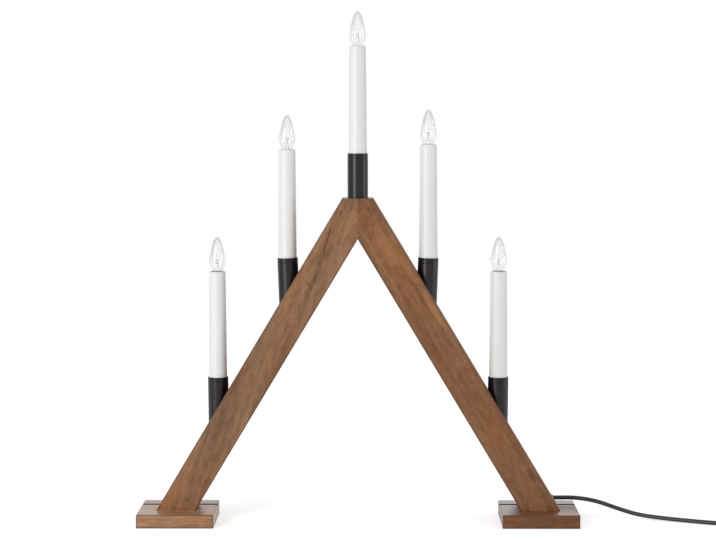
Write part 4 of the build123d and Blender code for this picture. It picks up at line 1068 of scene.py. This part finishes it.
def screw_outline(diameter, length, head):
    """Screw with its head's top at 0 and its point downwards; head is the outline of the head."""
    root = ROOT_SHARE * diameter
    step = PITCH_SHARE * diameter / RINGS_PER_PITCH
    start = diameter - length
    count = int((head[0][1] - start) / step)
    shank = [(root, start + step * k, min(1.0, (count - k) / RINGS_PER_PITCH)) for k in range(count)]
    point = [(share * root, share * diameter - length, thread) for share, thread in POINT_RINGS]
    return point + shank + [(r, z, 0) for r, z in head]


def sunk_head(diameter):
    """Outline of a head that lies flush, with a softened rim."""
    radius = SUNK_SHARE * diameter
    return ((diameter / 2, diameter / 2 - radius), (radius - 0.06, -0.1), (radius - 0.02, -0.03),
            (radius - 0.1, 0.0), (0.0, 0.0))


def pan_head(diameter):
    """Outline of a domed head."""
    radius = PAN_SHARE * diameter
    edge, crown = 0.4 * radius, 0.7 * radius
    turns = [pi / 2 * k / 7 for k in range(8)]
    dome = [(radius * cos(turn), edge - crown + (crown - edge) * sin(turn)) for turn in turns]
    return ((diameter / 2, -crown), (radius - 0.08, -crown), (radius, -crown + 0.08), *dome)


print("sunk head of 2 mm:", [(round(r, 2), round(z, 2)) for r, z in sunk_head(2.0)])

# %% [markdown]
# The places of the screws are read from the frame's own screws, so they can't drift from their
# holes. The frame keeps several in one piece, which is why its separate solids are told apart first.

# %% Screws
SCREW_SIDES = 20
SCREW_SEED = 7
CROSS_SHARES = {"Cross length": 1.0, "Cross width": 0.2, "Cross depth": 0.6}     # of the diameter
PAN_WIDTH = 4.0 * MM        # a head at least this wide is the clamp's
BACKWARD, DOWNWARD = (0.0, 1.0, 0.0), (0.0, 0.0, -1.0)
COVER_SCREW, CLAMP_SCREW, FOOT_SCREW = (2.0, 11.0), (2.4, 19.56), (4.0, 32.0)   # diameter, length
SAME_POINT = 1e-6


def solids(mesh):
    """Lowest and highest corner of each separate solid in a frame piece."""
    shell = bmesh.new()
    shell.from_mesh(mesh)
    bmesh.ops.remove_doubles(shell, verts=shell.verts, dist=SAME_POINT)
    waiting = set(shell.verts)
    boxes = []
    while waiting:
        stack = [waiting.pop()]
        corners = []
        while stack:
            vert = stack.pop()
            corners.append(vert.co.copy())
            near = {edge.other_vert(vert) for edge in vert.link_edges} & waiting
            waiting -= near
            stack.extend(near)
        boxes.append(tuple(Vector(pick(c[i] for c in corners) for i in range(3)) for pick in (min, max)))
    shell.free()
    return sorted(boxes, key=lambda box: tuple(round(c, 5) for c in box[0]))


def set_screws(name, node, way, heads, head, diameter, length):
    """Turn one kind of screw and set a copy at each place, its head facing the way given."""
    steel = finishes["zinc plated steel"]
    outline = screw_outline(diameter, length, head(diameter))
    mesh = turn_piece(f"{name} pattern", outline, SCREW_SIDES, steel, PITCH_SHARE * diameter,
                      THREAD_SHARE * diameter)
    pattern = bpy.data.objects.new(f"{name} pattern", mesh)
    cross = {size: share * diameter * MM for size, share in CROSS_SHARES.items()}
    made = grow(line_mesh(name, heads), screws_in_place, {
        "Screw": pattern, "Head way": way, **cross, "Seed": SCREW_SEED, "Material": steel})
    bpy.data.objects.remove(pattern)
    seat(name, made, "arch", [node])
    print(name, len(heads), "screws,", len(made.polygons), "faces")


def back_heads(boxes):
    """Middle of each screw's back face."""
    return [Vector(((low.x + high.x) / 2, high.y, (low.z + high.z) / 2)) for low, high in boxes]


back_boxes = solids(pieces["back_screws"].data)
cover_boxes = [box for box in back_boxes if (box[1] - box[0]).x < PAN_WIDTH]
clamp_boxes = [box for box in back_boxes if (box[1] - box[0]).x >= PAN_WIDTH]
foot_heads = [Vector(((low.x + high.x) / 2, (low.y + high.y) / 2, low.z))
              for low, high in solids(pieces["foot_screws"].data)]
set_screws("cover_screws", "back_screws", BACKWARD, back_heads(cover_boxes), sunk_head, *COVER_SCREW)
set_screws("clamp_screws", "back_screws", BACKWARD, back_heads(clamp_boxes), pan_head, *CLAMP_SCREW)
set_screws("sole_screws", "foot_screws", DOWNWARD, foot_heads, sunk_head, *FOOT_SCREW)

# %% [markdown]
# The clamp's boot and the plug's relief are ribbed so that they bend with the cord. The ribs repeat
# along a line and shrink with the cone, so a tree sets rings along it and gives them a round section.

# %% Ribs
RIB_DIAMETER = 1.0
RIB_STEPS = 40              # round one rib
# first and last place from the boot's end or the plug's start, count, and first and last radius
BOOT_RIBS = (-10.2, -1.0, 5, 3.65, 2.80)
PLUG_RIBS = (1.0, 15.0, 7, 2.75, 3.20)


def build_ribs():
    tree, given, made = start_tree("Ribs on a cone", {
        "Axis": "Geometry", "Count": "Int", "Start radius": "Float", "End radius": "Float",
        "Rib diameter": "Float"})
    axis = output(tree, "GeometryNodeMeshToCurve", {"Mesh": given["Axis"]})
    stations = put(tree, "GeometryNodeCurveToPoints", {"Curve": axis, "Count": given["Count"]},
                   mode="COUNT").outputs
    index = output(tree, "GeometryNodeInputIndex")
    share = maths(tree, "DIVIDE", index, maths(tree, "SUBTRACT", given["Count"], 1))
    change = maths(tree, "SUBTRACT", given["End radius"], given["Start radius"])
    radius = maths(tree, "ADD", given["Start radius"], maths(tree, "MULTIPLY", share, change))
    ring = output(tree, "GeometryNodeCurvePrimitiveCircle", {"Resolution": RIB_STEPS, "Radius": 1.0})
    rings = output(tree, "GeometryNodeInstanceOnPoints", {
        "Points": stations["Points"], "Instance": ring, "Rotation": stations["Rotation"], "Scale": radius})
    real = output(tree, "GeometryNodeRealizeInstances", {"Geometry": rings})
    return finish_tree(tree, wire_from_curve(tree, real, given["Rib diameter"], WIRE_SIDES), given, made)


ribs_on_cone = build_ribs()


def set_ribs(name, start_x, line, row, material):
    """Ribs along X, on a line of y and z."""
    first, last, count, start_radius, end_radius = row
    axis = line_mesh(name, [(start_x + place * MM, *line) for place in (first, last)])
    made = grow(axis, ribs_on_cone, {
        "Count": count, "Start radius": start_radius * MM, "End radius": end_radius * MM,
        "Rib diameter": RIB_DIAMETER * MM, "Material": finishes[material]})
    print(name, count, "ribs,", len(made.polygons), "faces")
    return seat(name, made, "arch")


plug_low, plug_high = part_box("plug_body")
plug_line = ((plug_low.y + plug_high.y) / 2, COIL_HIGH)
set_ribs("boot_ribs", boot_end_x, BOOT_LINE, BOOT_RIBS, "clamp plastic")
plug_ribs = set_ribs("plug_ribs", plug_low.x, plug_line, PLUG_RIBS, "plug plastic")

# %% [markdown]
# A soft strap ties the coil. It goes once round all the turns, lies snug on the outermost ones and
# overlaps on top, so it is drawn as a thin strip along its own path. The path is the tight line round
# the cord's own middle line there, just clear of the cord, and Solidify gives the strip its thickness.

# %% Strap path
STRAP_THICKNESS = 0.6 * MM
STRAP_ROOM = 0.12 * MM      # between the cord and the strap
STRAP_REACH = CORD_DIAMETER / 2 + STRAP_ROOM + STRAP_THICKNESS / 2
ARC_STEPS = 10              # in a quarter turn of the strap
STRAP_STEP = 0.25 * MM      # its points are at least this far apart
STRAP_MARGIN = 1.0 * MM     # beside the strap, where the cord still counts


def cord_line(cord):
    """Points of the cord's own smooth middle line."""
    curve = cord.data.copy()
    curve.bevel_depth = 0.0
    return [vert.co.copy() for vert in shown_mesh(add_object("cord line", curve)).vertices]


def tight_corners(points):
    """Corners of the tight outline round points in X and Z, anticlockwise from the least X."""
    corners = [points[i] for i in convex_hull_2d(points)]
    start = corners.index(min(corners))
    return corners[start:] + corners[:start]


def strap_path(corners, reach):
    """The line round an outline at a distance from its corners."""
    ways = [atan2(x0 - x1, z1 - z0) for (x0, z0), (x1, z1) in zip(corners, corners[1:] + corners[:1])]
    points = []
    for (x, z), come, leave in zip(corners, ways[-1:] + ways[:-1], ways):
        sweep = (leave - come) % (2 * pi)
        steps = max(1, round(ARC_STEPS * sweep / (pi / 2)))
        for k in range(steps + 1):
            turn = come + sweep * k / steps
            point = Vector((x + reach * cos(turn), z + reach * sin(turn)))
            if all((point - end).length > STRAP_STEP for end in points[-1:] + points[:1]):
                points.append(point)
    return points


tie_low, tie_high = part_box("coil_tie")
tie_y, tie_half = (tie_low.y + tie_high.y) / 2, (tie_high.y - tie_low.y) / 2
under_strap = [(p.x, p.z) for p in cord_line(mains_cord)
               if abs(p.y - tie_y) < tie_half + STRAP_MARGIN and tie_low.x < p.x < tie_high.x]
strap_corners = tight_corners(under_strap)
print("strap corners", len(strap_corners))

# %% [markdown]
# The band follows that path all the way round. The flap is the strap's loose end, a short straight
# strip on top of the band. Both get soft edges, as woven stuff has, and become one piece.

# %% Coil tie
STRAP_ROWS = (-1.0, -0.93, -0.5, 0.0, 0.5, 0.93, 1.0)      # of points across half its width
STRAP_EDGE = 0.15 * MM
FLAP_HALF = 5.0 * MM
FLAP_STEPS = 12             # in half its length
FLAP_ROOM = 0.02 * MM
FLAP_INSET = 0.2 * MM
TOP_LAYER = COIL_HIGH - 0.1 * MM


def strip_mesh(name, path, middle_y, half_width, closed):
    """A strip of faces along a path in X and Z."""
    mesh = bpy.data.meshes.new(name)
    verts = [(x, middle_y + row * half_width, z) for x, z in path for row in STRAP_ROWS]
    width = len(STRAP_ROWS)
    last = len(path) if closed else len(path) - 1
    faces = []
    for i in range(last):
        j = (i + 1) % len(path)
        for k in range(width - 1):
            faces.append((i * width + k, i * width + k + 1, j * width + k + 1, j * width + k))
    mesh.from_pydata(verts, [], faces)
    mesh.polygons.foreach_set("use_smooth", [True] * len(faces))
    return mesh


def thickened(mesh):
    """The strip with its thickness and soft edges, as a plain mesh."""
    holder = add_object(mesh.name, mesh)
    thicken(holder, STRAP_THICKNESS, 0.0)
    edge = holder.modifiers.new("soft edge", "BEVEL")
    edge.width = STRAP_EDGE
    edge.segments = 2
    made = shown_mesh(holder)
    made.materials.append(finishes["tie strap"])
    return made


top_x = [x for x, z in strap_corners if z > TOP_LAYER]
flap_x = (min(top_x) + max(top_x)) / 2
flap_z = COIL_HIGH + STRAP_REACH + STRAP_THICKNESS + FLAP_ROOM
flap_path = [(flap_x + FLAP_HALF * (1 - k / FLAP_STEPS), flap_z) for k in range(2 * FLAP_STEPS + 1)]
band = thickened(strip_mesh("band", strap_path(strap_corners, STRAP_REACH), tie_y, tie_half, True))
flap = thickened(strip_mesh("flap", flap_path, tie_y, tie_half - FLAP_INSET, False))
coil_strap = seat("coil_strap", joined("coil_strap", [band, flap]), "arch", ["coil_tie"])
print("coil strap faces", len(coil_strap.data.polygons))

# %% [markdown]

# %% [markdown]
# A pale floor and soft light finish the scene. The world is white where the camera, a reflection or
# the glass sees it, and lights the arch at a plain level. The floor is lifted to the same white for
# those rays only, so it keeps the shadow of the arch. A softbox at the left models the round
# candles, and a weak strip at the right opens their far side.

# %% Floor and light
WHITE = (1, 1, 1, 1)
FLOOR_COLOUR = (0.9, 0.9, 0.9, 1)
FLOOR_HALF = 6.0
FLOOR_DROP = 0.0002         # below the feet, so that the faces don't flicker
FLOOR_LIFT = 0.48
WORLD_LIGHT = 0.55
# place, target, width and height, and watts
KEY_SOFTBOX = ((-1.25, -1.6, 0.64), (0, 0, 0.40), (0.45, 1.2), 23.0)
RIGHT_STRIP = ((1.9, -0.35, 0.6), (0, 0, 0.4), (0.35, 1.2), 8.0)


def seen_directly(tree):
    """1 for the rays that show the background: from the camera, a reflection or through glass."""
    path = put(tree, "ShaderNodeLightPath").outputs
    shown = maths(tree, "MAXIMUM", path["Is Camera Ray"], path["Is Glossy Ray"])
    return maths(tree, "MAXIMUM", shown, path["Is Transmission Ray"])


def make_world():
    world = bpy.data.worlds.new("white room")
    world.use_nodes = True
    tree = world.node_tree
    tree.nodes.clear()
    seen = output(tree, "ShaderNodeBackground", {"Color": WHITE, "Strength": 1.0})
    light = output(tree, "ShaderNodeBackground", {"Color": WHITE, "Strength": WORLD_LIGHT})
    mix = output(tree, "ShaderNodeMixShader", {0: seen_directly(tree), 1: light, 2: seen})
    put(tree, "ShaderNodeOutputWorld", {"Surface": mix})
    bpy.context.scene.world = world


def make_floor():
    mesh = bpy.data.meshes.new("floor")
    corners = ((-1, -1), (1, -1), (1, 1), (-1, 1))
    mesh.from_pydata([(x * FLOOR_HALF, y * FLOOR_HALF, -FLOOR_DROP) for x, y in corners], [], [(0, 1, 2, 3)])
    floor = add_object("floor", mesh)
    material, tree, shader = start_material("white floor", {
        "Base Color": FLOOR_COLOUR, "Roughness": 0.9, "Specular IOR Level": 0.1, "Emission Color": WHITE})
    fill(tree, shader, {"Emission Strength": maths(tree, "MULTIPLY", seen_directly(tree), FLOOR_LIFT)})
    mesh.materials.append(material)


def make_softbox(name, place, target, size, watts):
    lamp = bpy.data.lights.new(name, "AREA")
    lamp.shape = "RECTANGLE"
    lamp.size, lamp.size_y = size
    lamp.energy = watts
    softbox = add_object(name, lamp)
    softbox.location = place
    softbox.rotation_euler = (Vector(target) - Vector(place)).to_track_quat("-Z", "Y").to_euler()


make_world()
make_floor()
make_softbox("key softbox", *KEY_SOFTBOX)
make_softbox("right strip", *RIGHT_STRIP)
bpy.context.scene.view_settings.view_transform = "Standard"
print("world, floor and two softboxes ready")

# %% Update the scene
bpy.context.view_layer.update()
